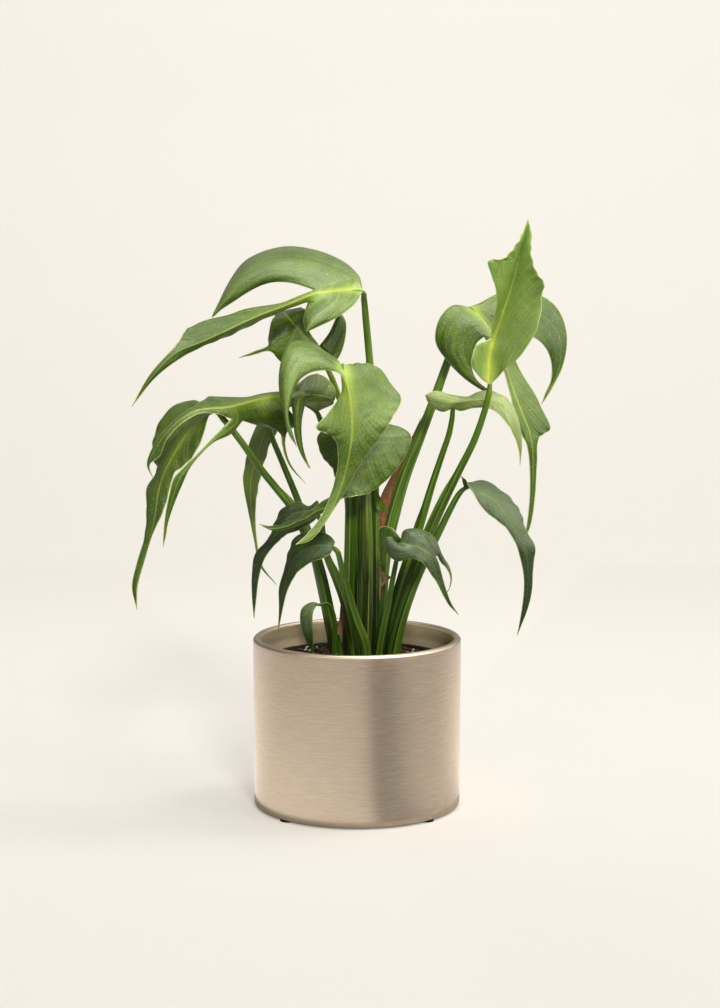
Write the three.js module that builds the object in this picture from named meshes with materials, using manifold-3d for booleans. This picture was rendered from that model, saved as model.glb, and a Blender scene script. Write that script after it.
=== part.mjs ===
// A monstera of the burle marx kind in a grow pot, standing in a brushed cylindrical planter.
// Millimetres, +Z up. The origin is on the planter's axis, on the surface that it stands on.
// Each leaf is one closed solid: a thin lobed blade fused to its stalk. The stalk stands in a hole
// in the soil.

import * as THREE from "three";
import { mergeVertices } from "three/addons/utils/BufferGeometryUtils.js";
import Module from "manifold-3d";

// Planter, grow pot and soil
const PLANTER_RADIUS = 90;
const PLANTER_TOP = 148.1;
const PLANTER_WALL = 5;
const LIP_WIDTH = 6.3;
const LIP_HEIGHT = 9;
const FLOOR_THICKNESS = 3;
const LIP_SLOPE_HEIGHT = 6;
const FLOOR_BEVEL = 2;
const BOTTOM_ROUNDING = 2;
const PLANTER_TAPER = 0.5;
const FOOT_RADIUS = 7;
const FOOT_HEIGHT = 0.8;
const FOOT_CIRCLE = 82.5;
const FOOT_COUNT = 4;
const FOOT_SIDES = 20;
const GAP = 0.3;
const GROW_POT_RIM_RADIUS = 81;
const GROW_POT_RIM_TOP = 128;
const GROW_POT_RIM_HEIGHT = 7;
const GROW_POT_RIM_OVERHANG = 2.2;
const GROW_POT_FOOT_RADIUS = 63;
const GROW_POT_WALL = 1.3;
const DRAIN_HOLES = 5;
const DRAIN_HOLE_RADIUS = 5;
const DRAIN_CIRCLE = 40;
const DRAIN_SIDES = 10;
const SOIL_TOP = 123;
const SOIL_RELIEF = 1.3;
const SOIL_RINGS = 6;
const HOLE_LENGTH = 42;
const HOLE_SIDES = 12;
const ROUND_SIDES = 48;

// Leaf sizes
const BLADE_THICKNESS = 0.8;
const MIDRIB_THICKNESS = 1.7;
const STALK_SIDES = 8;
const STALK_RINGS_PER_POINT = 2;
const BLADE_STEPS_ACROSS = 2;
const SHEATH_GROOVE = 0.3;
const GROOVE_STARTS = 4;
const GROOVE_FULL = 30;

// The leaves are laid out on a front picture, 720 by 1008 points, seen from an eye in front of the
// planter. A leaf point is [across, down, toward]: its place on that picture, and how many millimetres
// it lies in front of the planter's axis. Sliding a point in depth keeps it in its place on the picture.
// The crown opens out in depth as it rises: `toward` grows by CROWN_SPREAD between two picture heights.
const PICTURE_CENTRE = [360, 504];
const PICTURE_FOCUS = 2100;
const EYE = new THREE.Vector3(2.6, -1794, 484.9);
const EYE_PITCH = 0.1229;
const CROWN_SPREAD = 1.7;
const SPREAD_STARTS = 680;
const SPREAD_FULL = 450;

function seen([across, down, drawnToward]) {
  const risen = THREE.MathUtils.clamp((SPREAD_STARTS - down) / (SPREAD_STARTS - SPREAD_FULL), 0, 1);
  const toward = drawnToward * THREE.MathUtils.lerp(1, CROWN_SPREAD, risen);
  const right = (across - PICTURE_CENTRE[0]) / PICTURE_FOCUS;
  const up = (PICTURE_CENTRE[1] - down) / PICTURE_FOCUS;
  const ray = new THREE.Vector3(
    right,
    Math.cos(EYE_PITCH) + up * Math.sin(EYE_PITCH),
    up * Math.cos(EYE_PITCH) - Math.sin(EYE_PITCH),
  );
  const reach = (-toward - EYE.y) / ray.y;
  return ray.multiplyScalar(reach).add(EYE);
}

// Materials

function finish(color, roughness, metalness) {
  return new THREE.MeshStandardMaterial({ color, roughness, metalness });
}

const BRUSHED = finish(0xb5a58c, 0.35, 0.9);
const DARK_RUBBER = finish(0x1d1c1a, 0.8, 0);
const GROW_PLASTIC = finish(0x20251f, 0.55, 0);
const POTTING_MIX = finish(0x2c1e16, 0.95, 0);
const LEAF_BRIGHT = finish(0x6f9447, 0.4, 0);
const LEAF_DARK = finish(0x2f4f22, 0.45, 0);
const LEAF_PALE = finish(0x93a874, 0.45, 0);
const DRY_SHEATH = finish(0x8c4a2a, 0.7, 0);
const GREEN_BRACT = finish(0x58803a, 0.5, 0);

// Closed meshes and solids

const wasm = await Module();
wasm.setup();

function toSolid(geometry) {
  const bare = geometry.index ? geometry.clone() : geometry;
  bare.deleteAttribute("normal");
  bare.deleteAttribute("uv");
  const merged = mergeVertices(bare, 1e-4);
  return new wasm.Manifold(
    new wasm.Mesh({
      numProp: 3,
      vertProperties: new Float32Array(merged.attributes.position.array),
      triVerts: new Uint32Array(merged.index.array),
    }),
  );
}

function toGeometry(solid) {
  const mesh = solid.getMesh();
  const geometry = new THREE.BufferGeometry();
  geometry.setAttribute("position", new THREE.BufferAttribute(mesh.vertProperties, 3));
  geometry.setIndex(new THREE.BufferAttribute(mesh.triVerts, 1));
  return geometry;
}

function surface(points, triangles) {
  const geometry = new THREE.BufferGeometry();
  geometry.setFromPoints(points);
  geometry.setIndex(triangles);
  return geometry;
}

// A body of revolution about Z from [radius, height] pairs that start and end on the axis.
function turned(profile, sides) {
  const outline = profile.map(([radius, height]) => new THREE.Vector2(radius, height));
  return new THREE.LatheGeometry(outline, sides).rotateX(Math.PI / 2);
}

function standingCylinder(radius, bottom, top, sides) {
  const height = top - bottom;
  const cylinder = new THREE.CylinderGeometry(radius, radius, height, sides);
  return cylinder.rotateX(Math.PI / 2).translate(0, 0, bottom + height / 2);
}

// A quarter circle as [radius, height] pairs, from one angle to another in quarter turns.
function arc(centreRadius, centreHeight, radius, fromQuarter, toQuarter, steps) {
  return Array.from({ length: steps + 1 }, (_, i) => {
    const angle = ((fromQuarter + ((toQuarter - fromQuarter) * i) / steps) * Math.PI) / 2;
    return [centreRadius + radius * Math.cos(angle), centreHeight + radius * Math.sin(angle)];
  });
}

// Planter, feet, grow pot, soil

const PLANTER_BOTTOM = FOOT_HEIGHT + GAP;
const PLANTER_FLOOR = PLANTER_BOTTOM + FLOOR_THICKNESS;

function planter() {
  const lipRound = LIP_WIDTH / 2;
  const inner = PLANTER_RADIUS - PLANTER_WALL;
  const footRound = PLANTER_RADIUS - PLANTER_TAPER - BOTTOM_ROUNDING;
  const profile = [
    [0, PLANTER_BOTTOM],
    ...arc(footRound, PLANTER_BOTTOM + BOTTOM_ROUNDING, BOTTOM_ROUNDING, -1, 0, 3),
    ...arc(PLANTER_RADIUS - lipRound, PLANTER_TOP - lipRound, lipRound, 0, 2, 6),
    [PLANTER_RADIUS - LIP_WIDTH, PLANTER_TOP - LIP_HEIGHT],
    [inner, PLANTER_TOP - LIP_HEIGHT - LIP_SLOPE_HEIGHT],
    [inner, PLANTER_FLOOR + FLOOR_BEVEL],
    [inner - FLOOR_BEVEL, PLANTER_FLOOR],
    [0, PLANTER_FLOOR],
  ];
  return turned(profile, ROUND_SIDES);
}

function foot(index) {
  const angle = ((index + 0.5) * 2 * Math.PI) / FOOT_COUNT;
  const pad = standingCylinder(FOOT_RADIUS, 0, FOOT_HEIGHT, FOOT_SIDES);
  return pad.translate(FOOT_CIRCLE * Math.cos(angle), FOOT_CIRCLE * Math.sin(angle), 0);
}

const GROW_POT_BOTTOM = PLANTER_FLOOR + GAP;
const GROW_POT_NECK_RADIUS = GROW_POT_RIM_RADIUS - GROW_POT_RIM_OVERHANG;

function growPot() {
  const neck = GROW_POT_NECK_RADIUS;
  const neckHeight = GROW_POT_RIM_TOP - GROW_POT_RIM_HEIGHT;
  const floor = GROW_POT_BOTTOM + GROW_POT_WALL;
  const profile = [
    [0, GROW_POT_BOTTOM],
    [GROW_POT_FOOT_RADIUS - FLOOR_BEVEL, GROW_POT_BOTTOM],
    [GROW_POT_FOOT_RADIUS, GROW_POT_BOTTOM + FLOOR_BEVEL],
    [neck, neckHeight],
    [GROW_POT_RIM_RADIUS, neckHeight],
    [GROW_POT_RIM_RADIUS, GROW_POT_RIM_TOP],
    [neck - GROW_POT_WALL, GROW_POT_RIM_TOP],
    [neck - GROW_POT_WALL, neckHeight],
    [GROW_POT_FOOT_RADIUS - GROW_POT_WALL, floor],
    [0, floor],
  ];
  let solid = toSolid(turned(profile, ROUND_SIDES));
  for (let i = 0; i < DRAIN_HOLES; i += 1) {
    const angle = (i * 2 * Math.PI) / DRAIN_HOLES;
    const hole = standingCylinder(DRAIN_HOLE_RADIUS, GROW_POT_BOTTOM - GAP, floor + GAP, DRAIN_SIDES);
    hole.translate(DRAIN_CIRCLE * Math.cos(angle), DRAIN_CIRCLE * Math.sin(angle), 0);
    solid = solid.subtract(toSolid(hole));
  }
  return toGeometry(solid);
}

// The ground between the stalks is uneven: a few sine waves that cross each other.
function soilHeight(x, y) {
  const coarse = Math.sin(0.13 * x + 1.1) * Math.cos(0.11 * y - 0.4);
  const fine = Math.sin(0.37 * x - 0.29 * y) * Math.cos(0.33 * y + 0.21 * x);
  return SOIL_TOP + SOIL_RELIEF * (0.8 * coarse + 0.6 * fine);
}

function soil(stalks) {
  const rings = SOIL_RINGS;
  const spokes = ROUND_SIDES;
  const topRadius = GROW_POT_NECK_RADIUS - GROW_POT_WALL - GAP;
  const bottomRadius = GROW_POT_FOOT_RADIUS - GROW_POT_WALL - 2 * GAP;
  const bottom = GROW_POT_BOTTOM + GROW_POT_WALL + GAP;
  const points = [new THREE.Vector3(0, 0, soilHeight(0, 0))];
  const triangles = [];
  const around = (radius, height) => {
    for (let s = 0; s < spokes; s += 1) {
      const angle = (s * 2 * Math.PI) / spokes;
      const x = radius * Math.cos(angle);
      const y = radius * Math.sin(angle);
      points.push(new THREE.Vector3(x, y, height ?? soilHeight(x, y)));
    }
  };
  for (let r = 1; r <= rings; r += 1) around((topRadius * r) / rings);
  around(topRadius, GROW_POT_RIM_TOP - GROW_POT_RIM_HEIGHT);
  around(bottomRadius, bottom);
  points.push(new THREE.Vector3(0, 0, bottom));
  const last = points.length - 1;
  for (let s = 0; s < spokes; s += 1) {
    const next = (s + 1) % spokes;
    triangles.push(0, 1 + s, 1 + next);
    for (let r = 0; r < rings + 1; r += 1) {
      const inner = 1 + r * spokes;
      const outer = inner + spokes;
      triangles.push(inner + s, outer + s, outer + next, inner + s, outer + next, inner + next);
    }
    triangles.push(last, 1 + (rings + 1) * spokes + next, 1 + (rings + 1) * spokes + s);
  }
  let solid = toSolid(surface(points, triangles));
  for (const { foot: start, heading, radius } of stalks) {
    const holeRadius = (radius + GAP) / Math.cos(Math.PI / HOLE_SIDES);
    const hole = new THREE.CylinderGeometry(holeRadius, holeRadius, HOLE_LENGTH, HOLE_SIDES);
    hole.translate(0, HOLE_LENGTH / 2 - GAP, 0);
    hole.applyQuaternion(new THREE.Quaternion().setFromUnitVectors(new THREE.Vector3(0, 1, 0), heading));
    hole.translate(start.x, start.y, start.z);
    solid = solid.subtract(toSolid(hole));
  }
  return toGeometry(solid);
}

// Leaf blades

function splineThrough(points) {
  if (points.length === 2) return new THREE.LineCurve3(points[0], points[1]);
  return new THREE.CatmullRomCurve3(points, false, "centripetal");
}

// A curve through points that is read by point number: 0 is the first point, 1.5 lies past the second.
function rail(points) {
  const curve = splineThrough(points);
  const last = points.length - 1;
  return (step) => curve.getPoint(Math.min(1, Math.max(0, step / last)));
}

function quadratic(start, middle, end, share) {
  return start
    .clone()
    .multiplyScalar((1 - share) * (1 - 2 * share))
    .addScaledVector(middle, 4 * share * (1 - share))
    .addScaledVector(end, share * (2 * share - 1));
}

// Collects the vertices of one blade, welding those that fall on one spot.
class Blade {
  constructor() {
    this.points = [];
    this.halfThickness = [];
    this.triangles = [];
    this.found = new Map();
  }

  vertex(point, thickness) {
    const key = [point.x, point.y, point.z].map((value) => Math.round(value * 1000)).join();
    if (!this.found.has(key)) {
      this.found.set(key, this.points.length);
      this.points.push(point);
      this.halfThickness.push(thickness / 2);
    }
    return this.found.get(key);
  }

  triangle(a, b, c) {
    if (a !== b && b !== c && c !== a) this.triangles.push([a, b, c]);
  }

  // Rows of vertex numbers, each row as long as the next, joined by triangles.
  patch(rows, flip) {
    for (let r = 0; r + 1 < rows.length; r += 1) {
      for (let c = 0; c + 1 < rows[r].length; c += 1) {
        const corners = [rows[r][c], rows[r][c + 1], rows[r + 1][c + 1], rows[r + 1][c]];
        if (flip) corners.reverse();
        const [a, b, d, e] = corners;
        const first = this.points[a].distanceTo(this.points[d]);
        const second = this.points[b].distanceTo(this.points[e]);
        if (first <= second) {
          this.triangle(a, b, d);
          this.triangle(a, d, e);
        } else {
          this.triangle(a, b, e);
          this.triangle(b, d, e);
        }
      }
    }
  }

  // Both faces lie half the thickness off the drawn surface, with the same triangles, and a rim between.
  solid() {
    const normals = this.points.map(() => new THREE.Vector3());
    for (const [a, b, c] of this.triangles) {
      const ab = this.points[b].clone().sub(this.points[a]);
      const ac = this.points[c].clone().sub(this.points[a]);
      const normal = ab.cross(ac);
      for (const corner of [a, b, c]) normals[corner].add(normal);
    }
    const count = this.points.length;
    const faces = [1, -1].flatMap((side) =>
      this.points.map((point, i) =>
        point.clone().addScaledVector(normals[i].clone().normalize(), side * this.halfThickness[i]),
      ),
    );
    const triangles = [];
    const open = new Map();
    for (const [a, b, c] of this.triangles) {
      triangles.push(a, b, c, c + count, b + count, a + count);
      for (const [from, to] of [[a, b], [b, c], [c, a]]) {
        if (!open.delete(to + "," + from)) open.set(from + "," + to, [from, to]);
      }
    }
    for (const [from, to] of open.values()) {
      triangles.push(from, from + count, to + count, from, to + count, to);
    }
    return toSolid(surface(faces, triangles));
  }
}

// One side of a blade, from the base to the leaf's tip. `lobes` are side lobes in order from the base,
// each spanning midrib points `from` to `to`; `edge` is the margin beside the remaining midrib points.
function addSide(blade, midrib, side, flip) {
  const midribAt = rail(midrib);
  const tipStep = midrib.length - 1;
  const lobes = side.lobes ?? [];
  const across = BLADE_STEPS_ACROSS;
  const midribThickness = (step) =>
    BLADE_THICKNESS + (MIDRIB_THICKNESS - BLADE_THICKNESS) * (1 - step / tipStep);
  let sinus = null;

  for (const lobe of lobes) {
    const { from, to } = lobe;
    const tip = seen(lobe.tip);
    const near = [...(sinus ? [sinus] : []), ...lobe.near.map(seen)];
    const far = lobe.far.map(seen);
    const nearRail = sinus ? rail([...near, tip]) : rail([midribAt(from), ...near, tip]);
    const farRail = rail([...far, tip]);
    const middle = midribAt((from + to) / 2);
    const ribPoints = lobe.rib
      ? lobe.rib.map(seen)
      : near.map((point, i) => point.clone().add(far[i]).multiplyScalar(0.5));
    const ribRail = rail([middle, ...ribPoints, tip]);
    const nearAt = (step) => {
      if (!sinus) return nearRail(step);
      return step < 1 ? midribAt(from).lerp(near[0], step) : nearRail(step - 1);
    };
    const farAt = (step) => (step < 1 ? midribAt(to).lerp(far[0], step) : farRail(step - 1));
    const steps = [];
    for (let i = 0; i < across; i += 1) steps.push(i / across);
    for (let i = 1; i <= near.length + 1; i += 1) steps.push(i);
    const span = to - from;
    const rows = steps.map((step) =>
      Array.from({ length: span + 1 }, (_, c) => {
        const share = c / span;
        const point = quadratic(nearAt(step), ribRail(step), farAt(step), share);
        const rest = Math.max(0, 1 - step);
        if (rest > 0) {
          const straight = quadratic(midribAt(from), middle, midribAt(to), share);
          point.addScaledVector(midribAt(from + c).sub(straight), rest);
        }
        if (step === 0) return blade.vertex(midribAt(from + c), midribThickness(from + c));
        return blade.vertex(point, BLADE_THICKNESS);
      }),
    );
    blade.patch(rows, flip);
    sinus = far[0];
  }

  const start = lobes.length ? lobes.at(-1).to : 0;
  const margin = [sinus ?? midrib[0], ...side.edge.map(seen), midrib[tipStep]];
  const marginAt = rail(margin);
  const rows = [];
  for (let step = start; step <= tipStep; step += 1) {
    const inner = midribAt(step);
    const outer = marginAt(step - start);
    rows.push(
      Array.from({ length: across + 1 }, (_, c) => {
        const thickness = c === 0 ? midribThickness(step) : BLADE_THICKNESS;
        return blade.vertex(inner.clone().lerp(outer, c / across), thickness);
      }),
    );
  }
  blade.patch(rows, !flip);
}

// Stalks

// Carries a ring of points along a path. `open` is the side that the sheath's groove faces.
function stalk(points, radii, open) {
  const path = rail(points);
  const last = points.length - 1;
  const count = last * STALK_RINGS_PER_POINT;
  const vertices = [];
  const triangles = [];
  let normal = open.clone();
  for (let ring = 0; ring <= count; ring += 1) {
    const step = ring / STALK_RINGS_PER_POINT;
    const centre = path(step);
    const ahead = path(Math.min(last, step + 0.1));
    const heading = ahead.sub(path(Math.max(0, step - 0.1))).normalize();
    normal.addScaledVector(heading, -normal.dot(heading)).normalize();
    const sideways = heading.clone().cross(normal);
    const lower = Math.min(last - 1, Math.floor(step));
    const radius = THREE.MathUtils.lerp(radii[lower], radii[lower + 1], step - lower);
    const height = centre.z - SOIL_TOP;
    const opened = THREE.MathUtils.smoothstep(height, GROOVE_STARTS, GROOVE_FULL);
    const groove = SHEATH_GROOVE * opened * (1 - ring / count);
    for (let s = 0; s < STALK_SIDES; s += 1) {
      const angle = (s * 2 * Math.PI) / STALK_SIDES;
      const reach = s === 0 ? radius * (1 - groove) : radius;
      vertices.push(
        centre
          .clone()
          .addScaledVector(normal, reach * Math.cos(angle))
          .addScaledVector(sideways, reach * Math.sin(angle)),
      );
    }
  }
  const ends = [path(0), path(last)];
  vertices.push(...ends);
  for (let s = 0; s < STALK_SIDES; s += 1) {
    const next = (s + 1) % STALK_SIDES;
    for (let ring = 0; ring < count; ring += 1) {
      const a = ring * STALK_SIDES;
      const b = a + STALK_SIDES;
      triangles.push(a + s, a + next, b + next, a + s, b + next, b + s);
    }
    const top = count * STALK_SIDES;
    triangles.push(vertices.length - 2, next, s);
    triangles.push(vertices.length - 1, top + s, top + next);
  }
  return toSolid(surface(vertices, triangles));
}

const stalkFeet = [];

// A whole leaf. The stalk's points are [across, down, toward, radius] from the soil up to the blade.
function leaf({ stalk: stalkPoints, midrib, left, right, open = [0, -1, 0] }) {
  const drawn = midrib.map(seen);
  const blade = new Blade();
  addSide(blade, drawn, left, false);
  addSide(blade, drawn, right, true);
  const path = [...stalkPoints.map(seen), drawn[0], drawn[1]];
  const radii = stalkPoints.map((point) => point[3]);
  const tipRadius = radii.at(-1);
  radii.push(tipRadius * 0.85, tipRadius * 0.5);
  stalkFeet.push({
    foot: path[0],
    heading: rail(path)(0.5).sub(path[0]).normalize(),
    radius: Math.max(radii[0], radii[1]),
  });
  const fused = blade.solid().add(stalk(path, radii, new THREE.Vector3(...open)));
  return toGeometry(fused);
}

// The leaves, named by where they show from the front. `left` and `right` are the sides of the midrib
// as seen on the picture when going from the leaf's base to its tip.

const LEAVES = {
  leaf_top_left: {
    look: LEAF_BRIGHT,
    stalk: [
      [374, 680, -13, 5], [374.5, 640, -13, 5], [375, 560, -13, 4.2], [375, 500, -14, 3.6],
      [374, 430, -15, 3.4], [370, 365, -16, 3.2], [365.5, 315, -15, 2.9], [364, 299, -12, 2.6],
    ],
    midrib: [
      [363, 291, -7], [348, 290, -6], [331, 291, -2], [315, 294, 3], [290, 304, 9], [258, 316, 16],
      [228, 330, 25], [204, 341, 31], [174, 354, 38], [152, 377, 44], [131, 408, 48],
    ],
    right: {
      lobes: [{
        from: 0,
        to: 3,
        near: [
          [359, 276, -17], [345, 262, -26], [318, 250, -34], [285, 246, -34], [250, 258, -26],
          [228, 283, -12],
        ],
        rib: [
          [347, 280, -9], [328, 271, -12], [303, 265, -12], [275, 264, -10], [248, 274, -6],
          [227, 295, 0],
        ],
        far: [
          [313, 290, 1], [304, 286, 0], [290, 282.5, -2], [270, 283, -4], [248, 292, -3],
          [228, 305, 0],
        ],
        tip: [212, 318, 4],
      }],
      edge: [
        [286, 301, 5], [256, 307, 6], [226, 315, 12], [190, 327, 20], [176, 345, 35], [150, 374, 43],
      ],
    },
    left: {
      lobes: [{
        from: 0,
        to: 3,
        near: [[354, 305, 3], [338, 317, 10], [322, 325, 15]],
        rib: [[335, 303, 5], [322, 313, 12], [313, 322, 17]],
        far: [[308, 302, 4], [305, 311, 9], [303, 321, 14]],
        tip: [306, 332, 19],
      }],
      edge: [
        [288, 309, 7], [258, 322, 12], [229, 336, 21], [206, 345, 28], [181, 358, 36], [154, 379, 43],
      ],
    },
  },

  leaf_centre_front: {
    look: LEAF_BRIGHT,
    stalk: [
      [348, 680, -3, 5.5], [348.5, 640, -3, 5.5], [350, 560, -4, 5.2], [350.5, 500, -5, 4.6],
      [349, 440, -5, 3.6], [347, 405, 0, 3], [345, 380, 8, 2.7], [343.5, 368, 17, 2.5],
    ],
    midrib: [
      [343, 365, 27], [345, 374, 33], [347, 386, 37], [350, 400, 39], [352, 417, 40], [352, 434, 41],
      [350, 450, 42], [345, 474, 44], [336, 500, 50], [324, 522, 58], [309, 538, 66], [295, 545, 72],
    ],
    right: {
      lobes: [{
        from: 0,
        to: 2,
        near: [
          [337, 360, 22], [325, 351, 16], [312, 342, 14], [296, 340, 17], [286, 349, 25],
          [280, 368, 34], [279, 390, 41], [283, 414, 45], [289, 436, 46],
        ],
        rib: [
          [338, 367, 29], [328, 360, 27], [315, 355, 27], [301, 356, 30], [292, 366, 36],
          [287, 382, 42], [285, 398, 46], [285.5, 416, 48], [290.5, 435, 48],
        ],
        far: [
          [341, 375, 33], [334, 371, 33], [325, 370, 33], [312, 372, 34], [302, 378, 37],
          [295, 388, 41], [290, 402, 44], [288, 417, 46], [292, 432, 46],
        ],
        tip: [297, 447, 46],
      }],
      edge: [
        [341, 393, 37], [327, 414, 42], [316, 428, 46], [334, 438, 43], [338, 460, 43],
        [333, 487, 46], [321, 516, 56], [307, 534, 64],
      ],
    },
    left: {
      edge: [
        [362, 363, 18], [378, 367, 14], [390, 382, 15], [401, 399, 21], [393, 417, 31],
        [381, 436, 35], [362, 462, 39], [344, 493, 46], [328, 519, 57], [311, 540, 66],
      ],
    },
  },

  leaf_centre_right: {
    look: LEAF_DARK,
    stalk: [
      [364, 680, 3, 6], [365, 640, 3, 6.2], [366, 560, 2, 6.2], [365.5, 500, 0, 5],
      [365, 460, -4, 3.4], [361, 438, -4, 2.8], [356, 423, 1, 2.5],
    ],
    midrib: [
      [354, 419, 8], [357, 432, 14], [357, 446, 17], [354, 462, 19], [347, 486, 23],
      [336, 503, 30], [314, 517, 40], [292, 527, 46], [273, 530, 50], [259, 524, 52],
    ],
    right: {
      edge: [
        [334, 424, 0], [318, 436, 0], [322, 456, 6], [333, 470, 13], [335, 489, 19],
        [316, 506, 30], [290, 521, 39], [271, 526, 47],
      ],
    },
    left: {
      edge: [
        [388, 423, -4], [411, 436, 0], [399, 466, 9], [371, 492, 18], [340, 499, 34],
        [318, 511, 45], [292, 524, 50], [272, 529, 52],
      ],
    },
  },

  leaf_curled_back: {
    look: LEAF_DARK,
    stalk: [
      [358, 680, -34, 4], [358, 600, -34, 4], [357.5, 520, -33, 3.6], [354, 460, -31, 3.2],
      [345, 415, -30, 2.8], [336, 389, -29, 2.6], [331, 376, -28, 2.4],
    ],
    midrib: [
      [327, 367, -26], [317, 352, -24], [305, 337, -20], [294, 324, -17], [286, 315, -22],
      [283, 311, -32], [287, 314, -43], [296, 326, -50],
    ],
    left: {
      lobes: [{
        from: 0,
        to: 4,
        near: [[304, 366, -22], [281, 362, -14], [270.5, 351.2, -9], [256, 353.9, -3]],
        rib: [[290, 346, -13], [275, 349.5, -11], [269, 348.6, -8.5], [255.5, 352.4, -2.5]],
        far: [[271, 322, -20], [268, 337, -15], [267.5, 345.8, -9], [255, 351, -3]],
        tip: [239, 358, 2],
      }],
      edge: [[277, 313, -31], [281, 315, -42]],
    },
    right: {
      lobes: [{
        from: 0,
        to: 2,
        near: [[338, 358, -30], [345, 340, -32], [346, 322, -32]],
        rib: [[328, 353, -28], [337, 338, -30], [341, 320, -31]],
        far: [[319, 346, -27], [329, 333, -30], [336, 318, -31]],
        tip: [340, 311, -32],
      }],
      edge: [[307, 326, -20], [306, 311, -17], [301, 308, -27], [300, 313, -41]],
    },
  },

  leaf_left_upper: {
    look: LEAF_BRIGHT,
    stalk: [
      [352, 680, -20, 4.5], [352, 600, -20, 4.5], [351, 540, -19, 4.2], [347, 490, -16, 3.4],
      [337, 455, -12, 2.9], [325, 430, -9, 2.6], [320, 419, -7, 2.4],
    ],
    midrib: [
      [318, 411, -4], [300, 401, 3], [281, 396, 9], [260, 399, 15], [241, 404, 20], [228, 407, 24],
      [212, 408, 28], [194, 411, 34], [176, 423, 38], [161, 440, 41], [151, 457, 43],
      [148, 467, 44], [153, 478, 44],
    ],
    right: {
      lobes: [{
        from: 0,
        to: 2,
        near: [[334, 401, -8], [335, 389, -9], [327, 378, -9]],
        rib: [[312, 394, -2], [318, 385, -5], [318, 376, -8]],
        far: [[286, 391, 5], [300, 382, 0], [308, 376, -4]],
        tip: [317, 373, -8],
      }],
      edge: [
        [262, 394, 6], [242, 397, 9], [228, 397.5, 12], [212, 396, 16], [197, 404, 26],
        [178, 417, 34], [160, 436, 39], [149, 455, 42], [147, 466, 43.5],
      ],
    },
    left: {
      lobes: [
        {
          from: 0,
          to: 2,
          near: [
            [334, 403, 3], [322, 395, 10], [309, 399, 14], [303, 413, 17], [301, 434, 19],
            [304, 455, 20],
          ],
          rib: [
            [312, 402, 11], [306, 395, 16], [299, 399, 19], [297.5, 415, 21], [298, 435, 21.5],
            [302.5, 455, 22],
          ],
          far: [
            [288, 408, 12], [290, 397, 16], [291, 404, 18], [293, 418, 20], [295, 436, 21],
            [301, 455, 22],
          ],
          tip: [310, 469, 21],
        },
        {
          from: 2,
          to: 4,
          near: [[297, 424, 2], [286, 434, 0], [285, 447, 1], [290.5, 464, 3]],
          rib: [[268, 414, 13], [278, 426, 6], [283, 434, 1.5], [284, 447, 1.5], [289.7, 464.5, 3]],
          far: [[243, 421, 18], [262, 427, 8], [280.5, 431, 2], [283, 447, 1.5], [289, 465, 3]],
          tip: [306, 484, 6],
        },
        {
          from: 4,
          to: 5,
          near: [
            [231, 434, 26], [213, 443, 34], [200, 456, 40], [189, 470, 44], [181, 487, 47],
            [175, 502, 50], [169, 520, 52], [165.5, 537, 53],
          ],
          far: [
            [231, 419, 24], [222, 428, 29], [209, 441, 35], [197, 454, 40], [184, 467, 44],
            [174, 478, 48], [169, 496, 51], [165.5, 514, 52], [163.5, 534, 53],
          ],
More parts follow.
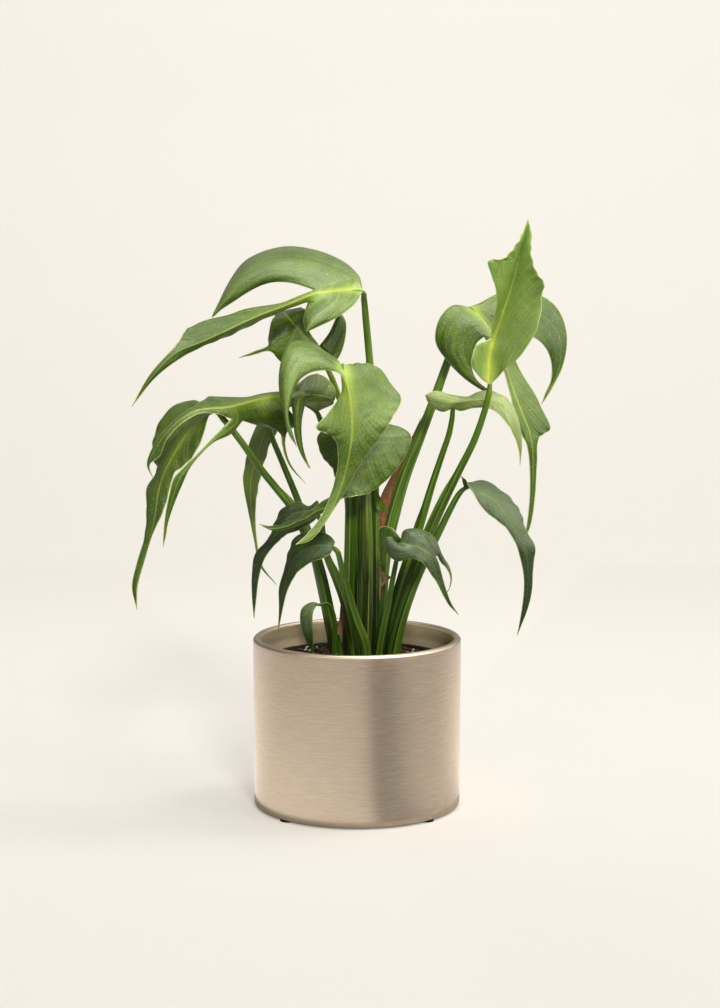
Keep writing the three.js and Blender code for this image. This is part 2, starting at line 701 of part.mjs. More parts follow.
          tip: [163, 548, 54],
        },
      ],
      edge: [
        [217, 414, 28], [197, 414.5, 35], [178, 427, 40], [166, 441, 43], [160, 456, 44],
        [149.5, 465, 44.5],
      ],
    },
  },

  leaf_far_left: {
    look: LEAF_DARK,
    stalk: [
      [339, 680, 5, 4.5], [336, 652, 5, 4.5], [328, 610, 6, 4.2], [317, 563, 8, 4],
      [303, 528, 6, 4], [291, 506, 7, 3.8], [277, 489, 9, 3.2], [260, 468, 13, 3],
      [240, 440, 18, 2.8], [224, 420, 20, 2.5],
    ],
    midrib: [
      [214, 410, 22], [203, 417, 21], [191, 429, 21], [180, 444, 23], [171, 460, 25],
      [163, 476, 28], [158, 495, 31], [155, 517, 36], [150, 540, 42], [142, 564, 48],
      [136, 587, 54], [137, 610, 58],
    ],
    right: {
      edge: [
        [192, 400, 8], [170, 408, 4], [156, 430, 7], [152, 456, 14], [157, 470, 21],
        [147, 487, 26], [146.5, 515, 33], [144, 539, 40], [137, 562, 47], [132, 587, 53],
      ],
    },
    left: {
      edge: [
        [208, 417, 25], [204, 431, 28], [197, 450, 30], [187, 463, 31], [174, 474, 31],
        [169, 492, 33], [163, 512, 37], [152, 536, 42], [144.5, 561, 48], [137.5, 587, 54],
      ],
    },
  },

  leaf_left_back: {
    look: LEAF_PALE,
    stalk: [
      [338, 680, -12, 4], [334, 652, -12, 4], [327, 615, -12, 3.8], [318, 573, -13, 3.5],
      [309, 535, -13, 3.2], [298, 501, -13, 3], [283, 464, -13, 2.6], [272, 437, -14, 2.4],
      [269, 424, -17, 2.2],
    ],
    midrib: [
      [268, 417, -22], [267, 429, -28], [262, 443, -27], [256, 462, -26], [251, 481, -25],
      [251, 502, -24], [253, 521, -24], [255.5, 541, -24], [261, 566, -24], [277, 585, -20],
    ],
    right: {
      edge: [
        [257, 424, -31], [250, 442, -31], [246, 460, -29], [243, 480, -27], [246, 500, -26],
        [250, 520, -25], [254, 540, -24.5], [260, 566, -24.5],
      ],
    },
    left: {
      edge: [
        [278, 427, -23], [271, 442, -20], [264, 463, -20], [259, 484, -21], [256, 503, -22],
        [255.5, 522, -23], [257, 541, -23.5], [262, 565, -23.5],
      ],
    },
  },

  leaf_low_left: {
    look: LEAF_DARK,
    stalk: [
      [356, 680, 14, 4], [352, 640, 14, 4], [345, 603, 15, 4], [336, 578, 17, 3.6],
      [327, 556, 19, 3], [323, 534, 21, 2.5], [321, 521, 23, 2.3],
    ],
    midrib: [
      [318, 514, 25], [314, 511, 26], [308, 511, 27], [297, 513, 28], [285, 520, 29],
      [278, 531, 30], [270, 543, 30], [261, 556, 30], [256, 572, 30], [254.5, 595, 30],
      [254, 619, 30],
    ],
    right: {
      edge: [
        [318, 501, 21], [309, 505.5, 21], [298, 501.5, 18], [282, 509, 19], [274, 524, 23],
        [268, 539, 26], [255.5, 553, 27], [252, 573, 28], [252, 596, 29],
      ],
    },
    left: {
      edge: [
        [316, 519, 27], [310, 524, 29], [299, 530, 31], [286, 535, 33], [280, 540, 33],
        [273, 547, 32], [265, 558, 32], [259, 577, 31], [256.5, 597, 30],
      ],
    },
  },

  leaf_low_centre: {
    look: LEAF_DARK,
    stalk: [
      [366, 680, 30, 4], [364, 645, 30, 4], [355, 620, 32, 3.6], [348, 596, 35, 3],
      [343, 575, 39, 2.7], [340, 560, 42, 2.4], [337, 551, 43, 2.2],
    ],
    midrib: [
      [333, 547, 42], [329, 546, 43], [321, 545, 44], [310, 547, 45], [299, 553, 46],
      [292, 563, 46], [287, 577, 46], [283, 590, 46], [281, 607, 46], [278, 633, 45],
    ],
    right: {
      edge: [
        [335, 542, 39], [327, 534.5, 35], [310, 531.5, 33], [296, 536, 34], [289, 550, 38],
        [284, 570, 43], [279, 588, 44], [279, 607, 45],
      ],
    },
    left: {
      edge: [
        [331, 553, 45], [324, 558, 48], [314, 561, 49], [304, 567, 49], [297, 573, 49],
        [291, 583, 48], [287, 592, 47], [283, 608, 46],
      ],
    },
  },

  leaf_small_inner: {
    look: LEAF_PALE,
    stalk: [
      [333, 680, 24, 2.4], [334, 655, 24, 2.4], [335, 632, 25, 2.2], [333, 613, 27, 1.8],
      [327, 603.5, 30, 1.5],
    ],
    midrib: [
      [320, 604, 33], [313, 604, 37], [307, 610, 40], [306, 620, 42], [307, 632, 43],
      [310, 643, 42], [314, 656, 40],
    ],
    right: {
      edge: [[312, 602, 36], [302, 608, 40], [300, 619, 41], [302, 630, 42], [306.5, 642, 42]],
    },
    left: {
      edge: [[316, 606.5, 37], [313, 614, 41], [312.5, 623, 43], [313, 633, 43], [313.5, 644, 42]],
    },
  },

  leaf_right_upright: {
    look: LEAF_BRIGHT,
    stalk: [
      [393, 680, 3, 5], [396, 645, 3, 5], [405, 602, 4, 4.8], [417, 565, 5, 4.6],
      [430, 532, 6, 4.4], [443, 503, 7, 4], [459, 471, 8, 3.2], [474, 441, 9, 2.9],
      [484, 413, 10, 2.7], [488.5, 396, 11, 2.5],
    ],
    midrib: [
      [490, 385, 12], [490, 374, 11], [490, 360, 9], [491, 348, 8], [494, 337, 6], [499, 322, 5],
      [505, 305, 3], [510, 291, 2], [514, 278, 1], [518, 264, 0], [522, 249, -2], [526, 233, -4],
      [528, 219, -6],
    ],
    left: {
      edge: [
        [479, 377, 15], [471, 363, 17], [476, 346, 15], [490, 338, 8], [493, 322, 11],
        [497, 303, 12], [496, 287, 14], [491, 275, 17], [488, 261, 20], [503, 259, 12],
        [519, 240, 2],
      ],
    },
    right: {
      edge: [
        [499, 376, 15], [509, 366, 18], [520, 356, 20], [530, 342, 20], [538, 326, 19],
        [542, 305, 16], [542, 293, 15], [545, 285, 16], [536, 271, 12], [531, 252, 6],
        [532, 236, 0],
      ],
    },
  },

  leaf_right_back: {
    look: LEAF_DARK,
    stalk: [
      [378, 680, -30, 6.5], [378, 640, -30, 6.5], [380, 600, -31, 6.5], [384, 555, -32, 6.4],
      [393, 515, -34, 6.2], [404, 478, -36, 5.4], [420, 437, -38, 4.4], [435, 397, -40, 4],
      [449, 358, -42, 3.6], [461, 325, -44, 3.2], [465, 314, -45, 3],
    ],
    midrib: [
      [469, 307, -43], [479, 315, -35], [487, 325, -29], [494, 338, -24], [500, 353, -20],
      [507, 370, -17], [514, 392, -14], [522, 413, -12], [529, 430, -11], [532, 444, -10],
      [533, 466, -10], [532, 497, -10], [528.5, 526, -9], [524, 542, -7],
    ],
    right: {
      lobes: [{
        from: 0,
        to: 3,
        near: [
          [452, 306, -38], [439, 320, -34], [435.5, 342, -30], [447, 361, -27], [463, 377, -25],
          [479, 388, -23], [494, 396, -21],
        ],
        rib: [
          [468, 322, -30], [457, 332, -28], [453, 348, -26], [459, 363, -24], [469, 377, -23],
          [481, 386.5, -21.5], [494.5, 394, -20],
        ],
        far: [
          [484, 337, -25], [477, 343, -25], [473, 354, -25], [472, 367, -24], [476, 378, -23],
          [484, 386, -22], [495, 392.5, -21],
        ],
        tip: [508, 401, -20],
      }],
      edge: [
        [492, 352, -20], [503, 369, -16], [509, 391, -12], [515, 415, -9], [521, 433, -9],
        [527, 446, -9], [529.5, 467, -9.5], [529.5, 498, -9.5], [526.5, 526, -8.5],
      ],
    },
    left: {
      lobes: [{
        from: 0,
        to: 4,
        near: [
          [480, 303, -48], [497, 294, -54], [516, 289, -58], [536, 293, -60], [552, 302, -60],
          [562, 316, -59], [567, 338, -57], [562, 368, -54], [551, 390, -50],
        ],
        rib: [
          [496, 325, -38], [507, 316, -45], [521, 311, -50], [536, 314, -53], [548, 322, -55],
          [557, 333, -55], [561, 350, -54], [558, 371, -53], [549, 391, -50],
        ],
        far: [
          [511, 352, -22], [516, 341, -31], [524, 336, -37], [533, 337, -42], [541, 342, -46],
          [548, 351, -49], [551.5, 364, -51], [550.5, 380, -51], [545, 395, -50],
        ],
        tip: [541, 405, -48],
      }],
      edge: [
        [518, 366, -22], [530, 386, -20], [541, 406, -18], [550, 429, -16], [539, 438, -12],
        [537, 463, -11], [535, 498, -10], [530.5, 526, -9],
      ],
    },
  },

  leaf_right_level: {
    look: LEAF_PALE,
    stalk: [
      [388, 680, -12, 4.5], [388.5, 650, -12, 4.5], [394, 612, -12, 4.3], [404, 575, -12, 4],
      [414, 545, -13, 3.8], [423, 515, -13, 3.6], [433, 482, -13, 3], [442, 455, -13, 2.7],
      [449, 434, -13, 2.5], [452, 419, -12, 2.3],
    ],
    midrib: [
      [453, 408, -10], [464, 402, -4], [477, 400, 0], [490, 400, 3], [502, 404, 5], [511, 412, 6],
      [517, 427, 6], [520.5, 446, 5], [520, 466, 4],
    ],
    left: {
      lobes: [{
        from: 0,
        to: 2,
        near: [[443, 411.5, -11], [433, 407.5, -13], [427.5, 402, -15]],
        rib: [[450, 403, -8], [441, 401, -11], [431, 398, -14]],
        far: [[466, 397, -9], [449, 394.5, -13], [436, 391, -16]],
        tip: [425, 395.5, -17],
      }],
      edge: [[480, 391, -9], [496, 392.5, -7], [509, 400, -2], [518, 418, 3], [522, 442, 4]],
    },
    right: {
      edge: [
        [460, 411, -7], [474, 408, -1], [488, 408.5, 5], [499, 414, 8], [508, 425, 9],
        [515, 438, 7], [519, 452, 5],
      ],
    },
  },

  leaf_right_low: {
    look: LEAF_DARK,
    stalk: [
      [391, 680, 18, 4.5], [395, 650, 18, 4.5], [402, 620, 18, 4.3], [412, 590, 18, 4],
      [425, 560, 18, 3.6], [440, 530, 19, 3], [452, 506, 20, 2.6], [459, 494, 20, 2.4],
    ],
    midrib: [
      [464, 487, 21], [469, 487, 23], [478, 490, 26], [495, 502, 29], [505, 513, 31],
      [513, 526, 33], [520, 540, 34], [526, 556, 35], [528, 575, 35], [527, 596, 35],
      [524, 614, 35], [517, 636, 35],
    ],
    left: {
      edge: [
        [470, 482, 14], [484, 481, 10], [500, 489, 10], [513, 501, 14], [521, 513, 20],
        [526, 530, 27], [535, 546, 31], [533, 568, 33], [532, 590, 34], [528, 608, 34.5],
      ],
    },
    right: {
      edge: [
        [461.5, 476, 28], [472, 491, 30], [480, 505, 32], [491, 516, 34], [504, 526, 35],
        [514, 540, 36], [520, 557, 36], [524, 580, 36], [523, 600, 36], [520.5, 617, 35.5],
      ],
    },
  },

  leaf_right_small: {
    look: LEAF_DARK,
    stalk: [
      [377, 680, 30, 2.6], [379, 652, 30, 2.6], [384, 623, 30, 2.5], [388, 606, 30, 2.4],
      [393, 578, 31, 2.2], [396.5, 560, 33, 2], [398.5, 549, 37, 1.8],
    ],
    midrib: [
      [400, 543, 42], [409, 545, 44], [419, 548, 45], [428, 554, 45], [434, 566, 45],
      [438, 578, 45], [444.5, 593, 45], [450.5, 605, 45], [459, 615, 45],
    ],
    left: {
      lobes: [{
        from: 0,
        to: 3,
        near: [
          [404, 530, 36], [420, 529.5, 33], [434, 537, 32], [443, 555, 32], [449, 565, 33],
          [452, 576, 34], [451, 585, 35],
        ],
        far: [
          [436, 556, 42], [437, 556, 39], [438, 557, 36], [441, 562, 34.5], [446, 568, 34.5],
          [450, 577, 35], [449.7, 585, 35.5],
        ],
        rib: [
          [420, 541, 42], [429, 542, 40], [436, 547, 36], [442, 558, 34], [447.5, 566.5, 34],
          [451, 576.5, 34.7], [450.4, 585, 35.3],
        ],
        tip: [447, 593, 36],
      }],
      edge: [[439.5, 565, 43.5], [442.5, 577, 44], [447, 592, 44.5], [452, 604.5, 45]],
    },
    right: {
      lobes: [{
        from: 0,
        to: 2,
        near: [[396, 542.5, 43], [391, 537, 45], [386, 538, 46]],
        rib: [[404, 549, 47], [394, 548, 48.5], [388, 546, 49]],
        far: [[411, 558, 48], [397, 561, 49], [388, 554, 48.5]],
        tip: [384.5, 545, 47.5],
      }],
      edge: [[423, 563, 49], [430, 573, 48], [436.5, 582, 47], [443, 595, 46], [449.5, 606, 45.5]],
    },
  },

  bract_green: {
    look: GREEN_BRACT,
    stalk: [
      [377, 680, 14, 2.8], [378, 640, 14, 2.8], [381, 612, 15, 2.2], [382.5, 598, 16, 1.8],
    ],
    midrib: [
      [383, 588, 17], [383.5, 573, 19], [383.5, 558, 21], [385, 546, 24], [391, 537, 27],
      [398, 537, 29], [404, 543, 30],
    ],
    left: {
      edge: [[381.5, 574, 17], [380.5, 558, 18], [379, 542, 20], [380, 527.5, 23], [392, 528, 26]],
    },
    right: {
      edge: [[385.5, 574, 19], [386.5, 560, 21], [388.5, 551, 24], [394, 545, 26], [399, 543, 28]],
    },
  },

  sheath_dry_brown: {
    look: DRY_SHEATH,
    stalk: [
      [383, 680, -21, 2.4], [381, 650, -21, 2.2], [379, 610, -21, 1.8], [378.5, 580, -22, 1.5],
    ],
    midrib: [
      [378.5, 566, -22], [378.5, 550, -23], [380, 530, -24], [382.5, 511, -25], [387, 495, -27],
      [393.5, 479, -29], [402.5, 460, -31], [412, 439, -33], [421, 418, -35],
    ],
    left: {
      edge: [
        [376, 549, -21], [376, 530, -22], [377.5, 511, -23], [381.5, 495, -25],
        [389.5, 479, -27.5], [400.5, 460, -30], [411, 439, -33],
      ],
    },
    right: {
      edge: [
        [381, 549, -23], [384, 530, -24], [388, 511, -26.5], [392, 495, -29],
        [397, 479.5, -31], [404.3, 460.5, -32.5], [413.3, 439.5, -33.5],
      ],
    },
  },
};

// The whole plant in its pot

const plant = new THREE.Group();

function place(name, geometry, material) {
  const mesh = new THREE.Mesh(geometry, material.clone());
  mesh.name = name;
  plant.add(mesh);
}

for (const [name, drawing] of Object.entries(LEAVES)) place(name, leaf(drawing), drawing.look);
place("planter", planter(), BRUSHED);
for (let i = 0; i < FOOT_COUNT; i += 1) place("planter_foot_" + (i + 1), foot(i), DARK_RUBBER);
place("grow_pot", growPot(), GROW_PLASTIC);
place("soil", soil(stalkFeet), POTTING_MIX);

export default plant;
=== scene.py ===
# %% [markdown]
# # A potted monstera of the burle marx kind
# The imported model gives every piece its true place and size, and this lesson dresses it. Each leaf,
# the planter, the grow pot and the soil get a finer surface that stands for its plain solid. The
# frame is loaded first, because every later cell works in its metres, with +Z up.

# %% Load the frame
import bpy
import numpy as np
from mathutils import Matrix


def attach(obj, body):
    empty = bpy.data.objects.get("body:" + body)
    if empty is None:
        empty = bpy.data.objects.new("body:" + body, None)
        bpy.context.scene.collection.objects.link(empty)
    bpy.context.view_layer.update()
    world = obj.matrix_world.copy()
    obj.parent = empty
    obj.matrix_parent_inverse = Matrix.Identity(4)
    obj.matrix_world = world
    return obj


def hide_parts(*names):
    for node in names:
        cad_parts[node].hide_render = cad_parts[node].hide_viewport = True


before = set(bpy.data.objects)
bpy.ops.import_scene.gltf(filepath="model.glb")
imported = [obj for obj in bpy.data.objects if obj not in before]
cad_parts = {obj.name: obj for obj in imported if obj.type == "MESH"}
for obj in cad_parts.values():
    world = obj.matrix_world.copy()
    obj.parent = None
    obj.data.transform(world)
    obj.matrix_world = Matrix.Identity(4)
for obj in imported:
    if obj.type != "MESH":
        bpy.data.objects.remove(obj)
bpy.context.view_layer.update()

MM = 0.001

# %% [markdown]
# The camera stands at eye height in front of the plant and looks a little down. A long lens keeps
# the planter's sides nearly parallel. Its place could be found by eye. Here it was worked out from
# the planter's rim, whose width and tilt fix the distance and the pitch.

# %% Camera
PICTURE_CENTRE = np.array((360.0, 504.0))
PICTURE_HEIGHT = 1008
PICTURE_FOCUS = 2100.0
EYE = np.array((2.6, -1794.0, 484.9))
EYE_PITCH = 0.1229
SENSOR_SIZE = 36.0

camera_data = bpy.data.cameras.new("camera")
camera_data.sensor_width = SENSOR_SIZE
camera_data.lens = SENSOR_SIZE * PICTURE_FOCUS / PICTURE_HEIGHT
camera = bpy.data.objects.new("camera", camera_data)
camera.location = EYE * MM
camera.rotation_euler = (np.pi / 2 - EYE_PITCH, 0, 0)
bpy.context.collection.objects.link(camera)
bpy.context.scene.camera = camera
print("camera: lens", round(camera_data.lens, 1), "mm")

# %% [markdown]
# Every leaf is drawn on the front picture and pushed forward or back in depth. A point is
# [across, down, toward]: two picture units, and millimetres in front of the planter's axis. The
# crown opens out in depth as it rises, so `toward` grows between two heights on the picture.

# %% From the picture into space
CROWN_SPREAD = 1.7
SPREAD_STARTS = 680.0
SPREAD_FULL = 450.0


def seen(points):
    """Millimetres in the frame of points drawn as [across, down, toward].

    A ray leaves the eye through the picture point, and is followed until it meets the upright
    plane that lies `toward` in front of the axis.
    """
    across, down, toward = np.atleast_2d(np.asarray(points, float))[:, :3].T
    risen = np.clip((SPREAD_STARTS - down) / (SPREAD_STARTS - SPREAD_FULL), 0, 1)
    toward = toward * (1 + (CROWN_SPREAD - 1) * risen)
    right = (across - PICTURE_CENTRE[0]) / PICTURE_FOCUS
    up = (PICTURE_CENTRE[1] - down) / PICTURE_FOCUS
    cos, sin = np.cos(EYE_PITCH), np.sin(EYE_PITCH)
    ray = np.stack([right, cos + up * sin, up * cos - sin], axis=1)
    reach = (-toward - EYE[1]) / ray[:, 1]
    return EYE + ray * reach[:, None]


print("the planter's front rim stands at", np.round(seen([357, 655, 90])[0], 1), "mm")

# %% [markdown]
# Stalks and leaf margins are smooth curves through a few points. A plain polyline would show its
# corners, and a Bezier curve needs handles. A centripetal Catmull-Rom curve passes through every
# point without loops, so it is used for all of them.

# %% Curves read by point number


def rail(points):
    """A smooth curve through points, as a function of the point number.

    Between two points it is a cubic whose end slopes come from the neighbours, weighted by the
    square roots of the distances between them. 0 is the first point and 1.5 is past the second.
    """
    points = np.asarray(points, float)
    last = len(points) - 1
    if last == 1:
        return lambda steps: points[0] + np.clip(steps, 0, 1)[..., None] * (points[1] - points[0])
    before, after = 2 * points[0] - points[1], 2 * points[-1] - points[-2]
    padded = np.vstack([before, points, after])

    def curve(steps):
        steps = np.clip(np.asarray(steps, float), 0, last)
        first = np.minimum(steps.astype(int), last - 1)
        w = (steps - first)[..., None]
        a, b, c, d = (padded[first + k] for k in range(4))
        apart = [np.linalg.norm(q - p, axis=-1, keepdims=True) for p, q in ((a, b), (b, c), (c, d))]
        g0, g1, g2 = (np.maximum(np.sqrt(length), 1e-3) for length in apart)
        slope_b = ((b - a) / g0 - (c - a) / (g0 + g1) + (c - b) / g1) * g1
        slope_c = ((c - b) / g1 - (d - b) / (g1 + g2) + (d - c) / g2) * g1
        square = 3 * (c - b) - 2 * slope_b - slope_c
        cube = 2 * (b - c) + slope_b + slope_c
        return b + w * (slope_b + w * (square + w * cube))

    return curve


def smooth_step(value, low, high):
    """0 below low, 1 above high, and 3x^2 - 2x^3 between them."""
    share = np.clip((np.asarray(value, float) - low) / (high - low), 0, 1)
    return share * share * (3 - 2 * share)


def unit(vectors):
    """Each vector divided by its length."""
    return vectors / np.maximum(np.linalg.norm(vectors, axis=-1, keepdims=True), 1e-9)


print("halfway along three points:", rail([(0, 0, 0), (1, 0, 1), (2, 0, 0)])(np.array([0.5]))[0])

# %% [markdown]
# A mesh is made from whole arrays: vertex places, faces, and one number per vertex for each field
# that a material reads, such as the distance to the midrib. A grid of points becomes triangles by
# its row and column numbers, each small square cut along its shorter diagonal.

# %% Grids and meshes


def lengths_along(points):
    """Millimetres from the first point of a line to each of its points, along the line."""
    return np.concatenate([[0], np.cumsum(np.linalg.norm(np.diff(points, axis=0), axis=1))])


def circle(count):
    """The angles of count equal steps round a full turn."""
    return np.arange(count) * 2 * np.pi / count


def fan(pole, start, sides, flip=False):
    """Triangles from one pole vertex to a closed ring of sides vertices that begins at start."""
    ring, after = start + np.arange(sides), start + (np.arange(sides) + 1) % sides
    return np.stack([np.full(sides, pole), *((after, ring) if flip else (ring, after))], 1)


def grid_triangles(points, start=0, flip=False, closed=False):
    """Triangles of a (rows, columns, 3) grid, whose vertex numbers begin at start.

    The normal is columns x rows, or the other way with flip. closed joins the last column to the
    first.
    """
    rows, columns = points.shape[:2]
    numbers = np.arange(rows * columns).reshape(rows, columns) + start
    if closed:
        numbers = np.hstack([numbers, numbers[:, :1]])
        points = np.concatenate([points, points[:, :1]], axis=1)
    a, b = numbers[:-1, :-1], numbers[:-1, 1:]
    e, d = numbers[1:, :-1], numbers[1:, 1:]
    first = np.linalg.norm(points[:-1, :-1] - points[1:, 1:], axis=2)
    second = np.linalg.norm(points[:-1, 1:] - points[1:, :-1], axis=2)
    short = (first <= second)[..., None]
    one = np.where(short, np.stack([a, b, d], 2), np.stack([a, b, e], 2)).reshape(-1, 3)
    two = np.where(short, np.stack([a, d, e], 2), np.stack([b, d, e], 2)).reshape(-1, 3)
    faces = np.vstack([one, two])
    return faces[:, ::-1] if flip else faces


def new_piece(name, points, faces, materials, picks=None, fields=None):
    """A mesh object from points in millimetres, with its place in its vertices."""
    mesh = bpy.data.meshes.new(name)
    mesh.from_pydata((np.asarray(points) * MM).tolist(), [], np.asarray(faces).tolist())
    for material in materials:
        mesh.materials.append(material)
    if picks is not None:
        mesh.polygons.foreach_set("material_index", np.asarray(picks, np.int32))
    for field, values in (fields or {}).items():
        attribute = mesh.attributes.new(field, "FLOAT", "POINT")
        attribute.data.foreach_set("value", np.asarray(values, np.float32))
    mesh.shade_smooth()
    piece = bpy.data.objects.new(name, mesh)
    bpy.context.collection.objects.link(piece)
    return piece


def turned(profile, sides):
    """Points and faces of a profile of (radius, height) pairs turned about +Z.

    A point is (r cos t, r sin t, h), and a pair on the axis becomes one pole.
    """
    profile = np.asarray(profile, float)
    angles = circle(sides)
    inner = profile[profile[:, 0] > 0]
    ring = np.stack([np.cos(angles), np.sin(angles)], axis=1)
    flat = inner[:, None, :1] * ring[None]
    grid = np.concatenate([flat, np.broadcast_to(inner[:, None, 1:], (*flat.shape[:2], 1))], axis=2)
    faces = [grid_triangles(grid, closed=True)]
    points = [grid.reshape(-1, 3)]
    count = len(inner) * sides
    if profile[0, 0] == 0:
        points.append(np.array([[0, 0, profile[0, 1]]]))
        faces.append(fan(count, 0, sides, flip=True))
        count += 1
    if profile[-1, 0] == 0:
        points.append(np.array([[0, 0, profile[-1, 1]]]))
        faces.append(fan(count, (len(inner) - 1) * sides, sides))
    return np.vstack(points), np.vstack(faces)


def arc(centre, radius, from_quarter, to_quarter, steps):
    """(radius, height) pairs round part of a circle, with angles given in quarter turns."""
    angles = np.linspace(from_quarter, to_quarter, steps + 1) * np.pi / 2
    return [(centre[0] + radius * np.cos(t), centre[1] + radius * np.sin(t)) for t in angles]


def stands_for(piece, node):
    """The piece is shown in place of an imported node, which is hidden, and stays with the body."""
    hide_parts(node)
    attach(piece, "root")


print("helpers ready")

# %% [markdown]
# Materials are node trees. Wiring one by hand takes many lines, so a few short helpers each add one
# node and give back its output. A colour is typed as the screen shows it, and turned into the
# linear light that the shader works in.

# %% Node helpers


def colour(red, green, blue):
    """Linear RGBA of a screen colour given from 0 to 255, by the sRGB curve."""
    share = np.array((red, green, blue)) / 255
    linear = np.where(share <= 0.04045, share / 12.92, ((share + 0.055) / 1.055) ** 2.4)
    return (*linear.tolist(), 1.0)


def add(tree, kind, values=None, **settings):
    """Adds a node, sets its settings, and links or sets its inputs."""
    node = tree.nodes.new(kind)
    for key, value in settings.items():
        setattr(node, key, value)
    for key, value in (values or {}).items():
        if isinstance(value, bpy.types.NodeSocket):
            tree.links.new(value, node.inputs[key])
        else:
            node.inputs[key].default_value = value
    return node


def calc(tree, operation, *values):
    """The result of a Math node."""
    return add(tree, "ShaderNodeMath", dict(enumerate(values)), operation=operation).outputs[0]


def times(tree, first, second):
    """Two values multiplied."""
    return calc(tree, "MULTIPLY", first, second)


def plus(tree, first, second):
    """Two values added."""
    return calc(tree, "ADD", first, second)


def band(tree, value, low, high, start=0.0, end=1.0):
    """A value eased from start at low to end at high."""
    values = {"Value": value, "From Min": low, "From Max": high, "To Min": start, "To Max": end}
    return add(tree, "ShaderNodeMapRange", values, interpolation_type="SMOOTHSTEP").outputs[0]


def mixed(tree, share, first, second, blend="MIX"):
    """Two colours mixed by a share."""
    values = {0: share, 6: first, 7: second}
    return add(tree, "ShaderNodeMix", values, data_type="RGBA", blend_type=blend).outputs[2]


def field(tree, name):
    """A field that new_piece stored on the mesh, one number per vertex."""
    return add(tree, "ShaderNodeAttribute", attribute_name=name).outputs["Fac"]


def speckle(tree, vector, scale, detail=3.0, roughness=0.5):
    """Noise from 0 to 1, with features about 1/scale of a vector unit."""
    values = {"Vector": vector, "Scale": scale, "Detail": detail, "Roughness": roughness}
    return add(tree, "ShaderNodeTexNoise", values).outputs[0]


def stretched(tree, scale):
    """Object coordinates multiplied by a scale for each axis."""
    place = add(tree, "ShaderNodeTexCoord").outputs["Object"]
    return add(tree, "ShaderNodeMapping", {"Vector": place, "Scale": scale}).outputs[0]


def shader_value(value):
    """A screen colour as the shader's linear colour, and a plain number as it is."""
    return colour(*value) if isinstance(value, tuple) else value


def new_group(name, inputs, outputs):
    """A shader node group with named inputs {name: default} and outputs {name: kind}.

    A default of three numbers is a screen colour.
    """
    tree = bpy.data.node_groups.new(name, "ShaderNodeTree")
    for key, default in inputs.items():
        kind = "NodeSocketColor" if isinstance(default, tuple) else "NodeSocketFloat"
        socket = tree.interface.new_socket(key, in_out="INPUT", socket_type=kind)
        socket.default_value = shader_value(default)
    for key, kind in outputs.items():
        tree.interface.new_socket(key, in_out="OUTPUT", socket_type=kind)
    return tree, tree.nodes.new("NodeGroupInput").outputs, tree.nodes.new("NodeGroupOutput").inputs


def connect(tree, ends, **results):
    """Links each result to the group output whose name it has."""
    for key, result in results.items():
        tree.links.new(result, ends[key.replace("_", " ")])


def new_material(name, group=None, values=None, bump=(0.3, 0.0004), **shader):
    """A Principled material. A group, if any, feeds its colour, roughness and bump."""
    material = bpy.data.materials.new(name)
    material.use_nodes = True
    tree = material.node_tree
    surface = tree.nodes["Principled BSDF"]
    for key, value in shader.items():
        surface.inputs[key.replace("_", " ")].default_value = value
    if group:
        pattern = add(tree, "ShaderNodeGroup", node_tree=group)
        for key, value in (values or {}).items():
            pattern.inputs[key].default_value = shader_value(value)
        tree.links.new(pattern.outputs["Color"], surface.inputs["Base Color"])
        tree.links.new(pattern.outputs["Roughness"], surface.inputs["Roughness"])
        relief = {"Height": pattern.outputs["Height"], "Strength": bump[0], "Distance": bump[1]}
        tree.links.new(add(tree, "ShaderNodeBump", relief).outputs[0], surface.inputs["Normal"])
    return material


PATTERN_OUTPUTS = {
    "Color": "NodeSocketColor",
    "Roughness": "NodeSocketFloat",
    "Height": "NodeSocketFloat",
}
print("node helpers ready")

# %% [markdown]
# A monstera's blade is satin, not flat green. A yellow-green midrib fades into it near the stalk,
# fine side veins run from the midrib to the margin with a stronger one every few millimetres, the
# edge carries a thin pale line, and the underside is paler and duller. The blades store how far
# each vertex lies from the midrib, the margin and the side veins, so the pattern follows the leaf.

# %% Leaf pattern
MAIN_VEIN_GAP = 7.5
FINE_VEIN_GAP = 2.5
VEIN_LINE = 0.9
STREAK_WIDTH = 1.8
STREAK_LENGTH = 30.0
MARGIN_LINE = 0.8
CLOUD_SCALE, GRAIN_SCALE = 42.0, 620.0
WANDER_SCALE, WANDER = 60.0, 1.8
NEAR_RIB, FAR_FROM_RIB = 12.0, 75.0


def vein_lines(tree, run, gap):
    """Distance from lines that lie gap apart, as a share of the gap, and a mask of the lines."""
    place = calc(tree, "FRACT", calc(tree, "DIVIDE", run, gap))
    away = calc(tree, "ABSOLUTE", calc(tree, "SUBTRACT", place, 0.5))
    return away, band(tree, away, VEIN_LINE / gap, 0.1 * VEIN_LINE / gap)


